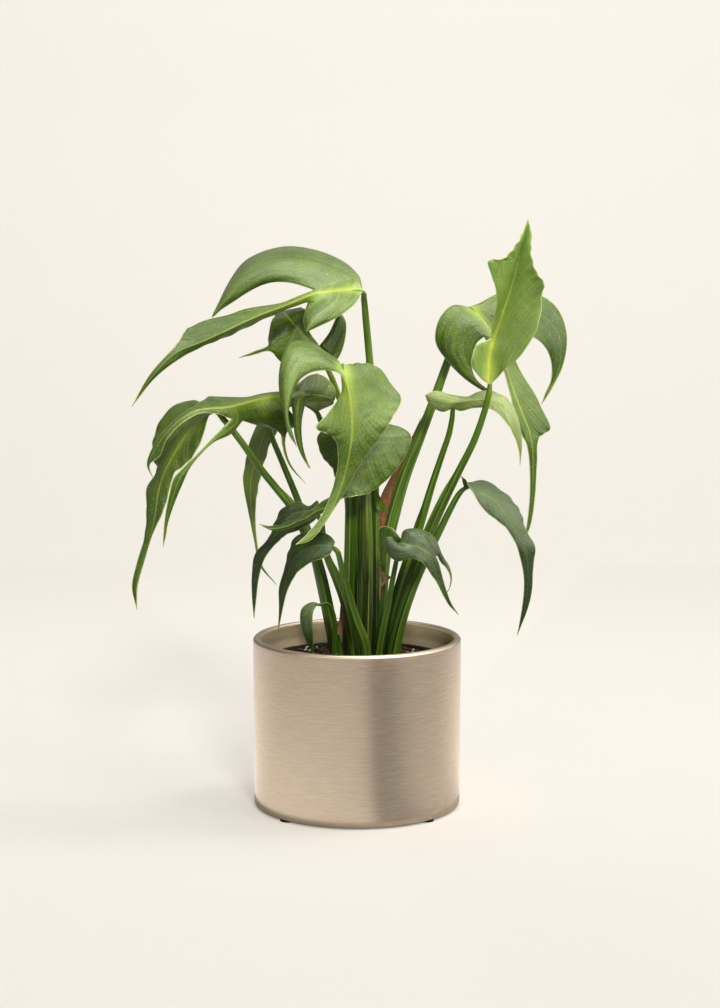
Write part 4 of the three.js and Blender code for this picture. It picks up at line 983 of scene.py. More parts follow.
def distance(points, starts, ends):
    """Millimetres from each point to the nearest of many short segments.

    The three segments with the nearest middles are tried. A point is dropped onto each, at a share
    of its length kept between 0 and 1.
    """
    middles, reach = (starts + ends) / 2, ends - starts
    least = np.full(len(points), 1e9)
    for first in range(0, len(points), POINTS_AT_A_TIME):
        chunk = points[first:first + POINTS_AT_A_TIME]
        away = ((chunk[:, None] - middles[None]) ** 2).sum(2)
        for k in np.argpartition(away, min(3, len(middles) - 1), axis=1)[:, :3].T:
            share = ((chunk - starts[k]) * reach[k]).sum(1) / np.maximum((reach[k] ** 2).sum(1), 1e-12)
            foot = starts[k] + reach[k] * np.clip(share, 0, 1)[:, None]
            here = slice(first, first + POINTS_AT_A_TIME)
            least[here] = np.minimum(least[here], np.linalg.norm(chunk - foot, axis=1))
    return least


print("a blade row has", len(ACROSS), "points")

# %% [markdown]
# The sheet becomes a blade with two faces and a thin rim. The upper face dips along the midrib, and
# the lower face swells there. The margin waves by half a millimetre and the blade domes a little
# between rib and margin, because a perfectly even sheet looks like cut card.

# %% Blade
FAR_AWAY = 50.0
DOME = 0.035
WAVE_HEIGHT, WAVE_LENGTH, WAVE_BAND = 0.55, 23.0, 9
RIPPLES = ((0.12, 13.0, 0.0), (0.25, 21.0, 1.0))
GROOVE_DEPTH, RIB_HEIGHT = 0.12, 0.75


def blade(leaf):
    """Points, faces and fields of a blade, and the way to its underside at the first midrib points."""
    midrib = seen(leaf["midrib"])
    sides = [patches(midrib, leaf[name], sign) for name, sign in (("left", 1), ("right", -1))]
    points, faces, (vein, rise) = welded([patch for made, _ in sides for patch in made])
    spine = rail(midrib)(np.arange((len(midrib) - 1) * STEPS_ALONG + 1) / STEPS_ALONG)
    border = open_edges(faces)
    on_border = np.zeros(len(points), bool)
    on_border[border.ravel()] = True
    rib = distance(points, spine[:-1], spine[1:])
    fixed = on_border | (rib < 0.02)
    points = eased(points, faces, fixed, SMOOTHING_ROUNDS)
    margin = distance(points, points[border[:, 0]], points[border[:, 1]])
    side_rib = np.full(len(points), FAR_AWAY)
    for line in [line for _, ribs in sides for line in ribs]:
        side_rib = np.minimum(side_rib, distance(points, line[:-1], line[1:]))

    normal = point_normals(points, faces)
    half = rib + margin
    dome = DOME * half * np.sin(np.pi * rib / np.maximum(half, 1e-6)) * smooth_step(rib, 0, 6)
    wave = np.sin(vein * 2 * np.pi / WAVE_LENGTH + rise * 5) * WAVE_HEIGHT
    wave = wave * smooth_step(margin, WAVE_BAND, 0) * smooth_step(rib, 2, 10)
    ripple = sum(size * np.sin(vein * 2 * np.pi / length + turn) for size, length, turn in RIPPLES)
    ripple = ripple * smooth_step(rib, 2, 9) * smooth_step(margin, 1, 8)
    points = points + normal * (dome + wave + ripple)[:, None]

    normal = point_normals(points, faces)
    vein_width = 1.5 - 1.1 * np.clip(rise, 0, 1)
    ridge = np.exp(-(rib / vein_width) ** 2)
    thin = smooth_step(margin, 0, 1.2)
    half = (EDGE_THICKNESS + (HALF_THICKNESS - EDGE_THICKNESS) * thin)[:, None]
    fade = 1 - 0.8 * np.clip(rise, 0, 1)
    groove, swell = ((size * ridge * fade)[:, None] for size in (GROOVE_DEPTH, RIB_HEIGHT))
    face = leaf.get("face", 1)
    front, back = (groove, swell) if face > 0 else (-swell, -groove)
    upper = points + normal * (half - front)
    lower = points - normal * (half + back)
    count = len(points)
    start, end = border.T
    both = np.vstack([
        faces, faces[:, ::-1] + count,
        np.stack([start, start + count, end + count], 1), np.stack([start, end + count, end], 1),
    ])
    under = np.repeat([0.0, 1.0] if face > 0 else [1.0, 0.0], count)
    show = smooth_step(margin, 0.3, 2.5)
    fields = {"vein": vein, "vein_show": show, "rise": np.clip(rise, 0, 1), "rib": rib,
              "side_rib": side_rib, "margin": margin}
    fields = {key: np.tile(value, 2) for key, value in fields.items()} | {"under": under}
    roots = [np.argmin(((points - root) ** 2).sum(1)) for root in midrib[:2]]
    return np.vstack([upper, lower]), both, fields, -face * normal[roots]


# %% [markdown]
# A stalk is round above and sheathed below: two thin lips stand beside a groove, left by the next
# leaf that grew out of it. Each ring of the tube is a circle whose radius swells at two angles and
# dips between them, and the swelling fades out where the sheath ends. A few thin flakes are left
# of dried bracts and of a torn leaf tip. Each is a sheet between two drawn lines.

# %% Stalk
RING_POINTS = 40
RINGS_PER_POINT = 10
LIP_ANGLE, LIP_WIDTH, LIP_SWELL = 0.75, 0.16, 0.32
DIP_WIDTH, DIP_DEPTH = 0.48, 0.36
SHEATH_FADE = 22
NO_SHEATH = ((0, -1, 0), 9999)
BASE_SHADE_ABOVE, BASE_SHADE_BELOW = 330, 150
FLAKE_THICKNESS, FLAKE_CRUMPLE = 0.25, 0.8
FLAKE_FIELDS = {"rib": 20.0, "side_rib": FAR_AWAY, "margin": 9.0, "rise": 0.3, "crest": 0.85}


def stalk(leaf, below):
    """Points, faces and fields of a stalk, its sheath and its end below the midrib.

    At an angle from the sheath's opening the radius is R(1 + S(LIP_SWELL a - DIP_DEPTH b)), where
    a is a narrow bell at the two lips, b a bell in the groove, and S the sheath's strength. The
    tube starts in the soil and ends inside the midrib's swelling, a little below the blade.
    """
    drawn = np.asarray(leaf["stalk"], float)
    top = drawn[-1, 3]
    depths = np.array([[0.75 * top], [0.3 * top]])
    path = np.vstack([seen(drawn[:, :3]), seen(leaf["midrib"][:2]) + below * depths])
    radii = np.concatenate([drawn[:, 3], [0.8 * top, 0.3 * top]])
    last = len(path) - 1
    steps = np.arange(last * RINGS_PER_POINT + 1) / RINGS_PER_POINT
    curve = rail(path)
    centre = curve(steps)
    heading = unit(curve(steps + 0.05) - curve(steps - 0.05))
    radius = np.interp(steps, np.arange(last + 1), radii)
    down = np.interp(steps, np.arange(last + 1), np.concatenate([drawn[:, 1], [0, 0]]))
    down[steps > len(drawn) - 1] = drawn[-1, 1]
    opening, ends = leaf.get("sheath", NO_SHEATH)
    opening = np.asarray(opening, float)
    facing = unit(opening - heading * (heading @ opening)[:, None])
    sideways = np.cross(heading, facing)
    strength = smooth_step(down, ends, ends + SHEATH_FADE)[:, None]
    turn = np.linspace(-np.pi, np.pi, RING_POINTS + 1)[:-1]
    spread = np.concatenate([[-np.pi], np.sort(np.concatenate([
        [-LIP_ANGLE, LIP_ANGLE], turn[np.abs(np.abs(turn) - LIP_ANGLE) > 0.04]]))[1:]])
    crest = np.exp(-((np.abs(spread) - LIP_ANGLE) / LIP_WIDTH) ** 2)[None]
    dip = np.exp(-(spread / DIP_WIDTH) ** 2)[None]
    reach = radius[:, None] * (1 + strength * (LIP_SWELL * crest - DIP_DEPTH * dip))
    cos, sin = np.cos(spread)[None, :, None], np.sin(spread)[None, :, None]
    grid = centre[:, None] + reach[..., None] * (cos * facing[:, None] + sin * sideways[:, None])
    rows, columns = grid.shape[:2]
    count = rows * columns
    faces = np.vstack([grid_triangles(grid, closed=True), fan(count, 0, columns, flip=True),
                       fan(count + 1, count - columns, columns)])
    points = np.vstack([grid.reshape(-1, 3), centre[:1], centre[-1:]])
    along = lengths_along(centre)
    # Painted shade: `low` rises from 0 to 1 as the stalk nears the soil, and the stalk pattern darkens it
    # there.
    low = smooth_step(centre[:, 2], BASE_SHADE_ABOVE, BASE_SHADE_BELOW)
    fields = {
        "along": np.repeat(along, columns), "low": np.repeat(low, columns),
        "around": np.tile(np.abs(spread) / np.pi, rows), "crest": (strength * crest).ravel(),
    }
    return points, faces, {key: np.append(value, value[[0, -1]]) for key, value in fields.items()}


def flake(first, second, across=5, along=9):
    """A thin dried flake between two drawn lines, with two sides, crumpled by crossing sines."""
    shares = np.linspace(0, 1, along)
    lines = [rail(seen(line))(shares * (len(line) - 1)) for line in (first, second)]
    grid = np.stack([lines[0] * (1 - t) + lines[1] * t for t in np.linspace(0, 1, across)])
    crumple = np.sin(np.arange(across) * 2.2)[:, None] * np.sin(np.arange(along) * 1.3)
    grid[..., 1] += FLAKE_CRUMPLE * crumple
    faces, points = grid_triangles(grid), grid.reshape(-1, 3)
    behind = points + (0, FLAKE_THICKNESS, 0)
    return np.vstack([points, behind]), np.vstack([faces, faces[:, ::-1] + len(points)])


def leaf_piece(name, leaf):
    """One object of a leaf: its blade, its stalk and its flakes.

    The blade has the first material and the stalk the second. A flake says which it takes.
    """
    blade_points, blade_faces, blade_fields, below = blade(leaf)
    stalk_points, stalk_faces, stalk_fields = stalk(leaf, below)
    no_blade, no_stalk = np.zeros(len(blade_points)), np.zeros(len(stalk_points))
    fields = {key: np.append(value, no_stalk) for key, value in blade_fields.items()}
    fields |= {key: np.append(no_blade, value) for key, value in stalk_fields.items()}
    points = [blade_points, stalk_points]
    faces, parts = [blade_faces, stalk_faces + len(blade_points)], [0, 1]
    for part, lines in leaf.get("flakes", []):
        flake_points, flake_faces = flake(*lines)
        faces.append(flake_faces + sum(map(len, points)))
        points.append(flake_points)
        parts.append(part)
        fields = {key: np.append(value, np.full(len(flake_points), FLAKE_FIELDS.get(key, 0.0)))
                  for key, value in fields.items()}
    materials = [blade_materials[leaf.get("look", leaf["slot"])],
                 stalk_materials[leaf.get("stem", "green")]]
    picks = np.repeat(parts, [len(block) for block in faces])
    piece = new_piece(name + "_visual", np.vstack(points), np.vstack(faces), materials, picks, fields)
    stands_for(piece, name)
    print(name, len(blade_faces), "blade and", len(stalk_faces), "stalk triangles")


# %% [markdown]
# These are the drawings of the fifteen leaves, one after the other, with the green bract and the
# dry sheath that stand between the stalks.
#
# - `sheath` says which way the stalk's groove opens and how far up the picture it reaches.
# - `slot` is the finish that the leaf has in the imported model. `look` is a lighter or darker shade of it,
#   because no two leaves in the picture have quite the same green; the upright leaf's lighter look is
#   painted sheen, the centre leaf's lighter far tone is painted sheen on its tail, and the two low leaves'
#   darker look is partly painted shade under the canopy. `stem` is the stalk's shade.
# - `face` is -1 where the leaf is turned over and its underside is seen.

# %% Drawings of the leaves
LEAVES = {}

LEAVES["leaf_top_left"] = dict(
    slot="leaf_bright", sheath=((-0.5, -0.86, 0), 500),
    stalk=[
        (374, 680, -13, 5), (374.5, 640, -13, 5), (375, 560, -13, 4.2), (375, 500, -14, 3.6),
        (374, 430, -15, 3.4), (370, 365, -16, 3.2), (365.5, 315, -15, 2.9), (364, 299, -12, 2.6)],
    midrib=[
        (363, 291, -7), (348, 290, -6), (331, 291, -2), (315, 294, 3), (290, 304, 9), (258, 316, 16),
        (228, 330, 25), (204, 341, 31), (174, 354, 38), (152, 377, 44), (131, 408, 48)],
    left=dict(
        edge=[
            (288, 309, 7), (258, 322, 12), (229, 336, 21), (206, 345, 28), (181, 358, 36),
            (154, 379, 43)],
        lobes=[
            dict(span=(0, 3), tip=(306, 332, 19),
                 near=[(354, 305, 3), (338, 317, 10), (322, 325, 15)],
                 rib=[(335, 303, 5), (322, 313, 12), (313, 322, 17)],
                 far=[(308, 302, 4), (305, 311, 9), (303, 321, 14)]),
        ],
    ),
    right=dict(
        edge=[
            (286, 301, 5), (256, 307, 6), (226, 315, 12), (190, 327, 20), (176, 345, 35),
            (150, 374, 43)],
        lobes=[
            dict(span=(0, 3), tip=(212, 318, 4),
                 near=[
                     (359, 276, -17), (345, 262, -26), (318, 250, -34), (285, 246, -34),
                     (250, 258, -26), (228, 283, -12)],
                 rib=[
                     (347, 280, -9), (328, 271, -12), (303, 265, -12), (275, 264, -10), (248, 274, -6),
                     (227, 295, 0)],
                 far=[
                     (313, 290, 1), (304, 286, 0), (290, 282.5, -2), (270, 283, -4), (248, 292, -3),
                     (228, 305, 0)]),
        ],
    ),
)

LEAVES["leaf_centre_front"] = dict(
    slot="leaf_bright", look="leaf_centre", sheath=((0.6, -0.8, 0), 470),
    stalk=[
        (348, 680, -3, 5.5), (348.5, 640, -3, 5.5), (350, 560, -4, 5.2), (350.5, 500, -5, 4.6),
        (349, 440, -5, 3.6), (347, 405, 0, 3), (345, 380, 8, 2.7), (343.5, 368, 17, 2.5)],
    midrib=[
        (343, 365, 27), (345, 374, 33), (347, 386, 37), (350, 400, 39), (352, 417, 40), (352, 434, 41),
        (350, 450, 42), (345, 474, 44), (336, 500, 50), (324, 522, 58), (309, 538, 66), (295, 545, 72)],
    left=dict(edge=[
        (362, 363, 18), (378, 367, 14), (390, 382, 15), (401, 399, 21), (393, 417, 31), (381, 436, 35),
        (362, 462, 39), (344, 493, 46), (328, 519, 57), (311, 540, 66)]),
    right=dict(
        edge=[
            (341, 393, 37), (327, 414, 42), (316, 428, 46), (334, 438, 43), (338, 460, 43),
            (333, 487, 46), (321, 516, 56), (307, 534, 64)],
        lobes=[
            dict(span=(0, 2), tip=(297, 447, 46),
                 near=[
                     (337, 360, 22), (325, 351, 16), (312, 342, 14), (296, 340, 17), (286, 349, 25),
                     (280, 368, 34), (279, 390, 41), (283, 414, 45), (289, 436, 46)],
                 rib=[
                     (338, 367, 29), (328, 360, 27), (315, 355, 27), (301, 356, 30), (292, 366, 36),
                     (287, 382, 42), (285, 398, 46), (285.5, 416, 48), (290.5, 435, 48)],
                 far=[
                     (341, 375, 33), (334, 371, 33), (325, 370, 33), (312, 372, 34), (302, 378, 37),
                     (295, 388, 41), (290, 402, 44), (288, 417, 46), (292, 432, 46)]),
        ],
    ),
)

LEAVES["leaf_centre_right"] = dict(
    slot="leaf_mid", stem="dark", sheath=((-0.4, -0.9, 0), 560),
    stalk=[
        (364, 680, 3, 6), (365, 640, 3, 6.2), (366, 560, 2, 6.2), (365.5, 500, 0, 5),
        (365, 460, -4, 3.4), (361, 438, -4, 2.8), (356, 423, 1, 2.5)],
    midrib=[
        (354, 419, 8), (357, 432, 14), (357, 446, 17), (354, 462, 19), (347, 486, 23), (336, 503, 30),
        (314, 517, 40), (292, 527, 46), (273, 530, 50), (259, 524, 52)],
    left=dict(edge=[
        (388, 423, -4), (411, 436, 0), (399, 466, 9), (371, 492, 18), (340, 499, 34), (318, 511, 45),
        (292, 524, 50), (272, 529, 52)]),
    right=dict(edge=[
        (334, 424, 0), (318, 436, 0), (322, 456, 6), (333, 470, 13), (335, 489, 19), (316, 506, 30),
        (290, 521, 39), (271, 526, 47)]),
    flakes=[
        (0, ([(375.5, 490, -6), (376, 500, -8), (376.5, 509, -8)],
             [(376, 489, -6), (382, 500, -8), (389, 513.5, -10)])),
    ],
)

LEAVES["leaf_curled_back"] = dict(
    slot="leaf_mid", stem="dark", sheath=((0.3, -0.95, 0), 540),
    stalk=[
        (358, 680, -34, 4), (358, 600, -34, 4), (357.5, 520, -33, 3.6), (354, 460, -31, 3.2),
        (345, 415, -30, 2.8), (336, 389, -29, 2.6), (331, 376, -28, 2.4)],
    midrib=[
        (327, 367, -26), (317, 352, -24), (305, 337, -20), (294, 324, -17), (286, 315, -22),
        (283, 311, -32), (287, 314, -43), (296, 326, -50)],
    left=dict(
        edge=[(277, 313, -31), (281, 315, -42)],
        lobes=[
            dict(span=(0, 4), tip=(239, 358, 2),
                 near=[(304, 366, -22), (281, 362, -14), (270.5, 351.2, -9), (256, 353.9, -3)],
                 rib=[(290, 346, -13), (275, 349.5, -11), (269, 348.6, -8.5), (255.5, 352.4, -2.5)],
                 far=[(271, 322, -20), (268, 337, -15), (267.5, 345.8, -9), (255, 351, -3)]),
        ],
    ),
    right=dict(
        edge=[(307, 326, -20), (306, 311, -17), (301, 308, -27), (300, 313, -41)],
        lobes=[
            dict(span=(0, 2), tip=(340, 311, -32),
                 near=[(338, 358, -30), (345, 340, -32), (346, 322, -32)],
                 rib=[(328, 353, -28), (337, 338, -30), (341, 320, -31)],
                 far=[(319, 346, -27), (329, 333, -30), (336, 318, -31)]),
        ],
    ),
)

LEAVES["leaf_left_upper"] = dict(
    slot="leaf_bright", sheath=((0.8, -0.6, 0), 520),
    stalk=[
        (352, 680, -20, 4.5), (352, 600, -20, 4.5), (351, 540, -19, 4.2), (347, 490, -16, 3.4),
        (337, 455, -12, 2.9), (325, 430, -9, 2.6), (320, 419, -7, 2.4)],
    midrib=[
        (318, 411, -4), (300, 401, 3), (281, 396, 9), (260, 399, 15), (241, 404, 20), (228, 407, 24),
        (212, 408, 28), (194, 411, 34), (176, 423, 38), (161, 440, 41), (151, 457, 43), (148, 467, 44),
        (153, 478, 44)],
    left=dict(
        edge=[
            (217, 414, 28), (197, 414.5, 35), (178, 427, 40), (166, 441, 43), (160, 456, 44),
            (149.5, 465, 44.5)],
        lobes=[
            dict(span=(0, 2), tip=(310, 469, 21),
                 near=[
                     (334, 403, 3), (322, 395, 10), (309, 399, 14), (303, 413, 17), (301, 434, 19),
                     (304, 455, 20)],
                 rib=[
                     (312, 402, 11), (306, 395, 16), (299, 399, 19), (297.5, 415, 21), (298, 435, 21.5),
                     (302.5, 455, 22)],
                 far=[
                     (288, 408, 12), (290, 397, 16), (291, 404, 18), (293, 418, 20), (295, 436, 21),
                     (301, 455, 22)]),
            dict(span=(2, 4), tip=(306, 484, 6),
                 near=[(297, 424, 2), (286, 434, 0), (285, 447, 1), (290.5, 464, 3)],
                 rib=[
                     (268, 414, 13), (278, 426, 6), (283, 434, 1.5), (284, 447, 1.5),
                     (289.7, 464.5, 3)],
                 far=[(243, 421, 18), (262, 427, 8), (280.5, 431, 2), (283, 447, 1.5), (289, 465, 3)]),
            dict(span=(4, 5), tip=(163, 548, 54),
                 near=[
                     (231, 434, 26), (213, 443, 34), (200, 456, 40), (189, 470, 44), (181, 487, 47),
                     (175, 502, 50), (169, 520, 52), (165.5, 537, 53)],
                 far=[
                     (231, 419, 24), (222, 428, 29), (209, 441, 35), (197, 454, 40), (184, 467, 44),
                     (174, 478, 48), (169, 496, 51), (165.5, 514, 52), (163.5, 534, 53)]),
        ],
    ),
    right=dict(
        edge=[
            (262, 394, 6), (242, 397, 9), (228, 397.5, 12), (212, 396, 16), (197, 404, 26),
            (178, 417, 34), (160, 436, 39), (149, 455, 42), (147, 466, 43.5)],
        lobes=[
            dict(span=(0, 2), tip=(317, 373, -8),
                 near=[(334, 401, -8), (335, 389, -9), (327, 378, -9)],
                 rib=[(312, 394, -2), (318, 385, -5), (318, 376, -8)],
                 far=[(286, 391, 5), (300, 382, 0), (308, 376, -4)]),
        ],
    ),
)

LEAVES["leaf_far_left"] = dict(
    slot="leaf_mid", sheath=((0.8, -0.6, 0), 486),
    stalk=[
        (339, 680, 5, 4.5), (336, 652, 5, 4.5), (328, 610, 6, 4.2), (317, 563, 8, 4), (303, 528, 6, 4),
        (291, 506, 7, 3.8), (277, 489, 9, 3.2), (260, 468, 13, 3), (240, 440, 18, 2.8),
        (224, 420, 20, 2.5)],
    midrib=[
        (214, 410, 22), (203, 417, 21), (191, 429, 21), (180, 444, 23), (171, 460, 25), (163, 476, 28),
        (158, 495, 31), (155, 517, 36), (150, 540, 42), (142, 564, 48), (136, 587, 54), (137, 610, 58)],
    left=dict(edge=[
        (208, 417, 25), (204, 431, 28), (197, 450, 30), (187, 463, 31), (174, 474, 31), (169, 492, 33),
        (163, 512, 37), (152, 536, 42), (144.5, 561, 48), (137.5, 587, 54)]),
    right=dict(edge=[
        (192, 400, 8), (170, 408, 4), (156, 430, 7), (152, 456, 14), (157, 470, 21), (147, 487, 26),
        (146.5, 515, 33), (144, 539, 40), (137, 562, 47), (132, 587, 53)]),
)

LEAVES["leaf_left_back"] = dict(
    slot="leaf_pale", face=-1, sheath=((0.7, -0.7, 0), 525),
    stalk=[
        (338, 680, -12, 4), (334, 652, -12, 4), (327, 615, -12, 3.8), (318, 573, -13, 3.5),
        (309, 535, -13, 3.2), (298, 501, -13, 3), (283, 464, -13, 2.6), (272, 437, -14, 2.4),
        (269, 424, -17, 2.2)],
    midrib=[
        (268, 417, -22), (267, 429, -28), (262, 443, -27), (256, 462, -26), (251, 481, -25),
        (251, 502, -24), (253, 521, -24), (255.5, 541, -24), (261, 566, -24), (277, 585, -20)],
    left=dict(edge=[
        (278, 427, -23), (271, 442, -20), (264, 463, -20), (259, 484, -21), (256, 503, -22),
        (255.5, 522, -23), (257, 541, -23.5), (262, 565, -23.5)]),
    right=dict(edge=[
        (257, 424, -31), (250, 442, -31), (246, 460, -29), (243, 480, -27), (246, 500, -26),
        (250, 520, -25), (254, 540, -24.5), (260, 566, -24.5)]),
)

LEAVES["leaf_low_left"] = dict(
    slot="leaf_dark", look="leaf_deep", sheath=((0.7, -0.7, 0), 553),
    stalk=[
        (356, 680, 14, 4), (352, 640, 14, 4), (345, 603, 15, 4), (336, 578, 17, 3.6), (327, 556, 19, 3),
        (323, 534, 21, 2.5), (321, 521, 23, 2.3)],
    midrib=[
        (318, 514, 25), (314, 511, 26), (308, 511, 27), (297, 513, 28), (285, 520, 29), (278, 531, 30),
        (270, 543, 30), (261, 556, 30), (256, 572, 30), (254.5, 595, 30), (254, 619, 30)],
    left=dict(edge=[
        (316, 519, 27), (310, 524, 29), (299, 530, 31), (286, 535, 33), (280, 540, 33), (273, 547, 32),
        (265, 558, 32), (259, 577, 31), (256.5, 597, 30)]),
    right=dict(edge=[
        (318, 501, 21), (309, 505.5, 21), (298, 501.5, 18), (282, 509, 19), (274, 524, 23),
        (268, 539, 26), (255.5, 553, 27), (252, 573, 28), (252, 596, 29)]),
)

LEAVES["leaf_low_centre"] = dict(
    slot="leaf_dark", look="leaf_deep", sheath=((0.7, -0.7, 0), 560),
    stalk=[
        (366, 680, 30, 4), (364, 645, 30, 4), (355, 620, 32, 3.6), (348, 596, 35, 3),
        (343, 575, 39, 2.7), (340, 560, 42, 2.4), (337, 551, 43, 2.2)],
    midrib=[
        (333, 547, 42), (329, 546, 43), (321, 545, 44), (310, 547, 45), (299, 553, 46), (292, 563, 46),
        (287, 577, 46), (283, 590, 46), (281, 607, 46), (278, 633, 45)],
    left=dict(edge=[
        (331, 553, 45), (324, 558, 48), (314, 561, 49), (304, 567, 49), (297, 573, 49), (291, 583, 48),
        (287, 592, 47), (283, 608, 46)]),
    right=dict(edge=[
        (335, 542, 39), (327, 534.5, 35), (310, 531.5, 33), (296, 536, 34), (289, 550, 38),
        (284, 570, 43), (279, 588, 44), (279, 607, 45)]),
)

LEAVES["leaf_small_inner"] = dict(
    slot="leaf_dark",
    stalk=[
        (333, 680, 24, 2.4), (334, 655, 24, 2.4), (335, 632, 25, 2.2), (333, 613, 27, 1.8),
        (327, 603.5, 30, 1.5)],
    midrib=[
        (320, 604, 33), (313, 604, 37), (307, 610, 40), (306, 620, 42), (307, 632, 43), (310, 643, 42),
        (314, 656, 40)],
    left=dict(edge=[
        (316, 606.5, 37), (313, 614, 41), (312.5, 623, 43), (313, 633, 43), (313.5, 644, 42)]),
    right=dict(edge=[(312, 602, 36), (302, 608, 40), (300, 619, 41), (302, 630, 42), (306.5, 642, 42)]),
)

LEAVES["leaf_right_upright"] = dict(
    slot="leaf_bright", look="leaf_fresh", sheath=((-0.8, -0.6, 0), 472),
    stalk=[
        (393, 680, 3, 5), (396, 645, 3, 5), (405, 602, 4, 4.8), (417, 565, 5, 4.6), (430, 532, 6, 4.4),
        (443, 503, 7, 4), (459, 471, 8, 3.2), (474, 441, 9, 2.9), (484, 413, 10, 2.7),
        (488.5, 396, 11, 2.5)],
    midrib=[
        (490, 385, 12), (490, 374, 11), (490, 360, 9), (491, 348, 8), (494, 337, 6), (499, 322, 5),
        (505, 305, 3), (510, 291, 2), (514, 278, 1), (518, 264, 0), (522, 249, -2), (526, 233, -4),
        (528, 219, -6)],
    left=dict(edge=[
        (479, 377, 15), (471, 363, 17), (476, 346, 15), (490, 338, 8), (493, 322, 11), (497, 303, 12),
        (496, 287, 14), (491, 275, 17), (488, 261, 20), (503, 259, 12), (519, 240, 2)]),
    right=dict(edge=[
        (499, 376, 15), (509, 366, 18), (520, 356, 20), (530, 342, 20), (538, 326, 19), (542, 305, 16),
        (542, 293, 15), (545, 285, 16), (536, 271, 12), (531, 252, 6), (532, 236, 0)]),
)

LEAVES["leaf_right_back"] = dict(
    slot="leaf_mid", look="leaf_bright", sheath=((-0.85, -0.5, 0), 412),
    stalk=[
        (378, 680, -30, 6.5), (378, 640, -30, 6.5), (380, 600, -31, 6.5), (384, 555, -32, 6.4),
        (393, 515, -34, 6.2), (404, 478, -36, 5.4), (420, 437, -38, 4.4), (435, 397, -40, 4),
        (449, 358, -42, 3.6), (461, 325, -44, 3.2), (465, 314, -45, 3)],
    midrib=[
        (469, 307, -43), (479, 315, -35), (487, 325, -29), (494, 338, -24), (500, 353, -20),
        (507, 370, -17), (514, 392, -14), (522, 413, -12), (529, 430, -11), (532, 444, -10),
        (533, 466, -10), (532, 497, -10), (528.5, 526, -9), (524, 542, -7)],
    left=dict(
        edge=[
            (518, 366, -22), (530, 386, -20), (541, 406, -18), (550, 429, -16), (539, 438, -12),
            (537, 463, -11), (535, 498, -10), (530.5, 526, -9)],
        lobes=[
            dict(span=(0, 4), tip=(541, 405, -48),
                 near=[
                     (480, 303, -48), (497, 294, -54), (516, 289, -58), (536, 293, -60),
                     (552, 302, -60), (562, 316, -59), (567, 338, -57), (562, 368, -54),
                     (551, 390, -50)],
                 rib=[
                     (496, 325, -38), (507, 316, -45), (521, 311, -50), (536, 314, -53),
                     (548, 322, -55), (557, 333, -55), (561, 350, -54), (558, 371, -53),
                     (549, 391, -50)],
                 far=[
                     (511, 352, -22), (516, 341, -31), (524, 336, -37), (533, 337, -42),
                     (541, 342, -46), (548, 351, -49), (551.5, 364, -51), (550.5, 380, -51),
                     (545, 395, -50)]),
        ],
    ),
    right=dict(
        edge=[
            (492, 352, -20), (503, 369, -16), (509, 391, -12), (515, 415, -9), (521, 433, -9),
            (527, 446, -9), (529.5, 467, -9.5), (529.5, 498, -9.5), (526.5, 526, -8.5)],
        lobes=[
            dict(span=(0, 3), tip=(508, 401, -20),
                 near=[
                     (452, 306, -38), (439, 320, -34), (435.5, 342, -30), (447, 361, -27),
                     (463, 377, -25), (479, 388, -23), (494, 396, -21)],
                 rib=[
                     (468, 322, -30), (457, 332, -28), (453, 348, -26), (459, 363, -24),
                     (469, 377, -23), (481, 386.5, -21.5), (494.5, 394, -20)],
                 far=[
                     (484, 337, -25), (477, 343, -25), (473, 354, -25), (472, 367, -24),
                     (476, 378, -23), (484, 386, -22), (495, 392.5, -21)]),
        ],
    ),
)

LEAVES["leaf_right_level"] = dict(
    slot="leaf_pale", sheath=((-0.8, -0.6, 0), 506),
    stalk=[
        (388, 680, -12, 4.5), (388.5, 650, -12, 4.5), (394, 612, -12, 4.3), (404, 575, -12, 4),
        (414, 545, -13, 3.8), (423, 515, -13, 3.6), (433, 482, -13, 3), (442, 455, -13, 2.7),
        (449, 434, -13, 2.5), (452, 419, -12, 2.3)],
    midrib=[
        (453, 408, -10), (464, 402, -4), (477, 400, 0), (490, 400, 3), (502, 404, 5), (511, 412, 6),
        (517, 427, 6), (520.5, 446, 5), (520, 466, 4)],
    left=dict(
        edge=[(480, 391, -9), (496, 392.5, -7), (509, 400, -2), (518, 418, 3), (522, 442, 4)],
        lobes=[
            dict(span=(0, 2), tip=(425, 395.5, -17),
                 near=[(443, 411.5, -11), (433, 407.5, -13), (427.5, 402, -15)],
                 rib=[(450, 403, -8), (441, 401, -11), (431, 398, -14)],
                 far=[(466, 397, -9), (449, 394.5, -13), (436, 391, -16)]),
        ],
    ),
    right=dict(edge=[
        (460, 411, -7), (474, 408, -1), (488, 408.5, 5), (499, 414, 8), (508, 425, 9), (515, 438, 7),
        (519, 452, 5)]),
)

LEAVES["leaf_right_low"] = dict(
    slot="leaf_dark", sheath=((-0.8, -0.6, 0), 565),
    stalk=[
        (391, 680, 18, 4.5), (395, 650, 18, 4.5), (402, 620, 18, 4.3), (412, 590, 18, 4),
        (425, 560, 18, 3.6), (440, 530, 19, 3), (452, 506, 20, 2.6), (459, 494, 20, 2.4)],
    midrib=[
        (464, 487, 21), (469, 487, 23), (478, 490, 26), (495, 502, 29), (505, 513, 31), (513, 526, 33),
        (520, 540, 34), (526, 556, 35), (528, 575, 35), (527, 596, 35), (524, 614, 35), (517, 636, 35)],
    left=dict(edge=[
        (470, 482, 14), (484, 481, 10), (500, 489, 10), (513, 501, 14), (521, 513, 20), (526, 530, 27),
        (535, 546, 31), (533, 568, 33), (532, 590, 34), (528, 608, 34.5)]),
    right=dict(edge=[
        (461.5, 476, 28), (472, 491, 30), (480, 505, 32), (491, 516, 34), (504, 526, 35),
        (514, 540, 36), (520, 557, 36), (524, 580, 36), (523, 600, 36), (520.5, 617, 35.5)]),
)

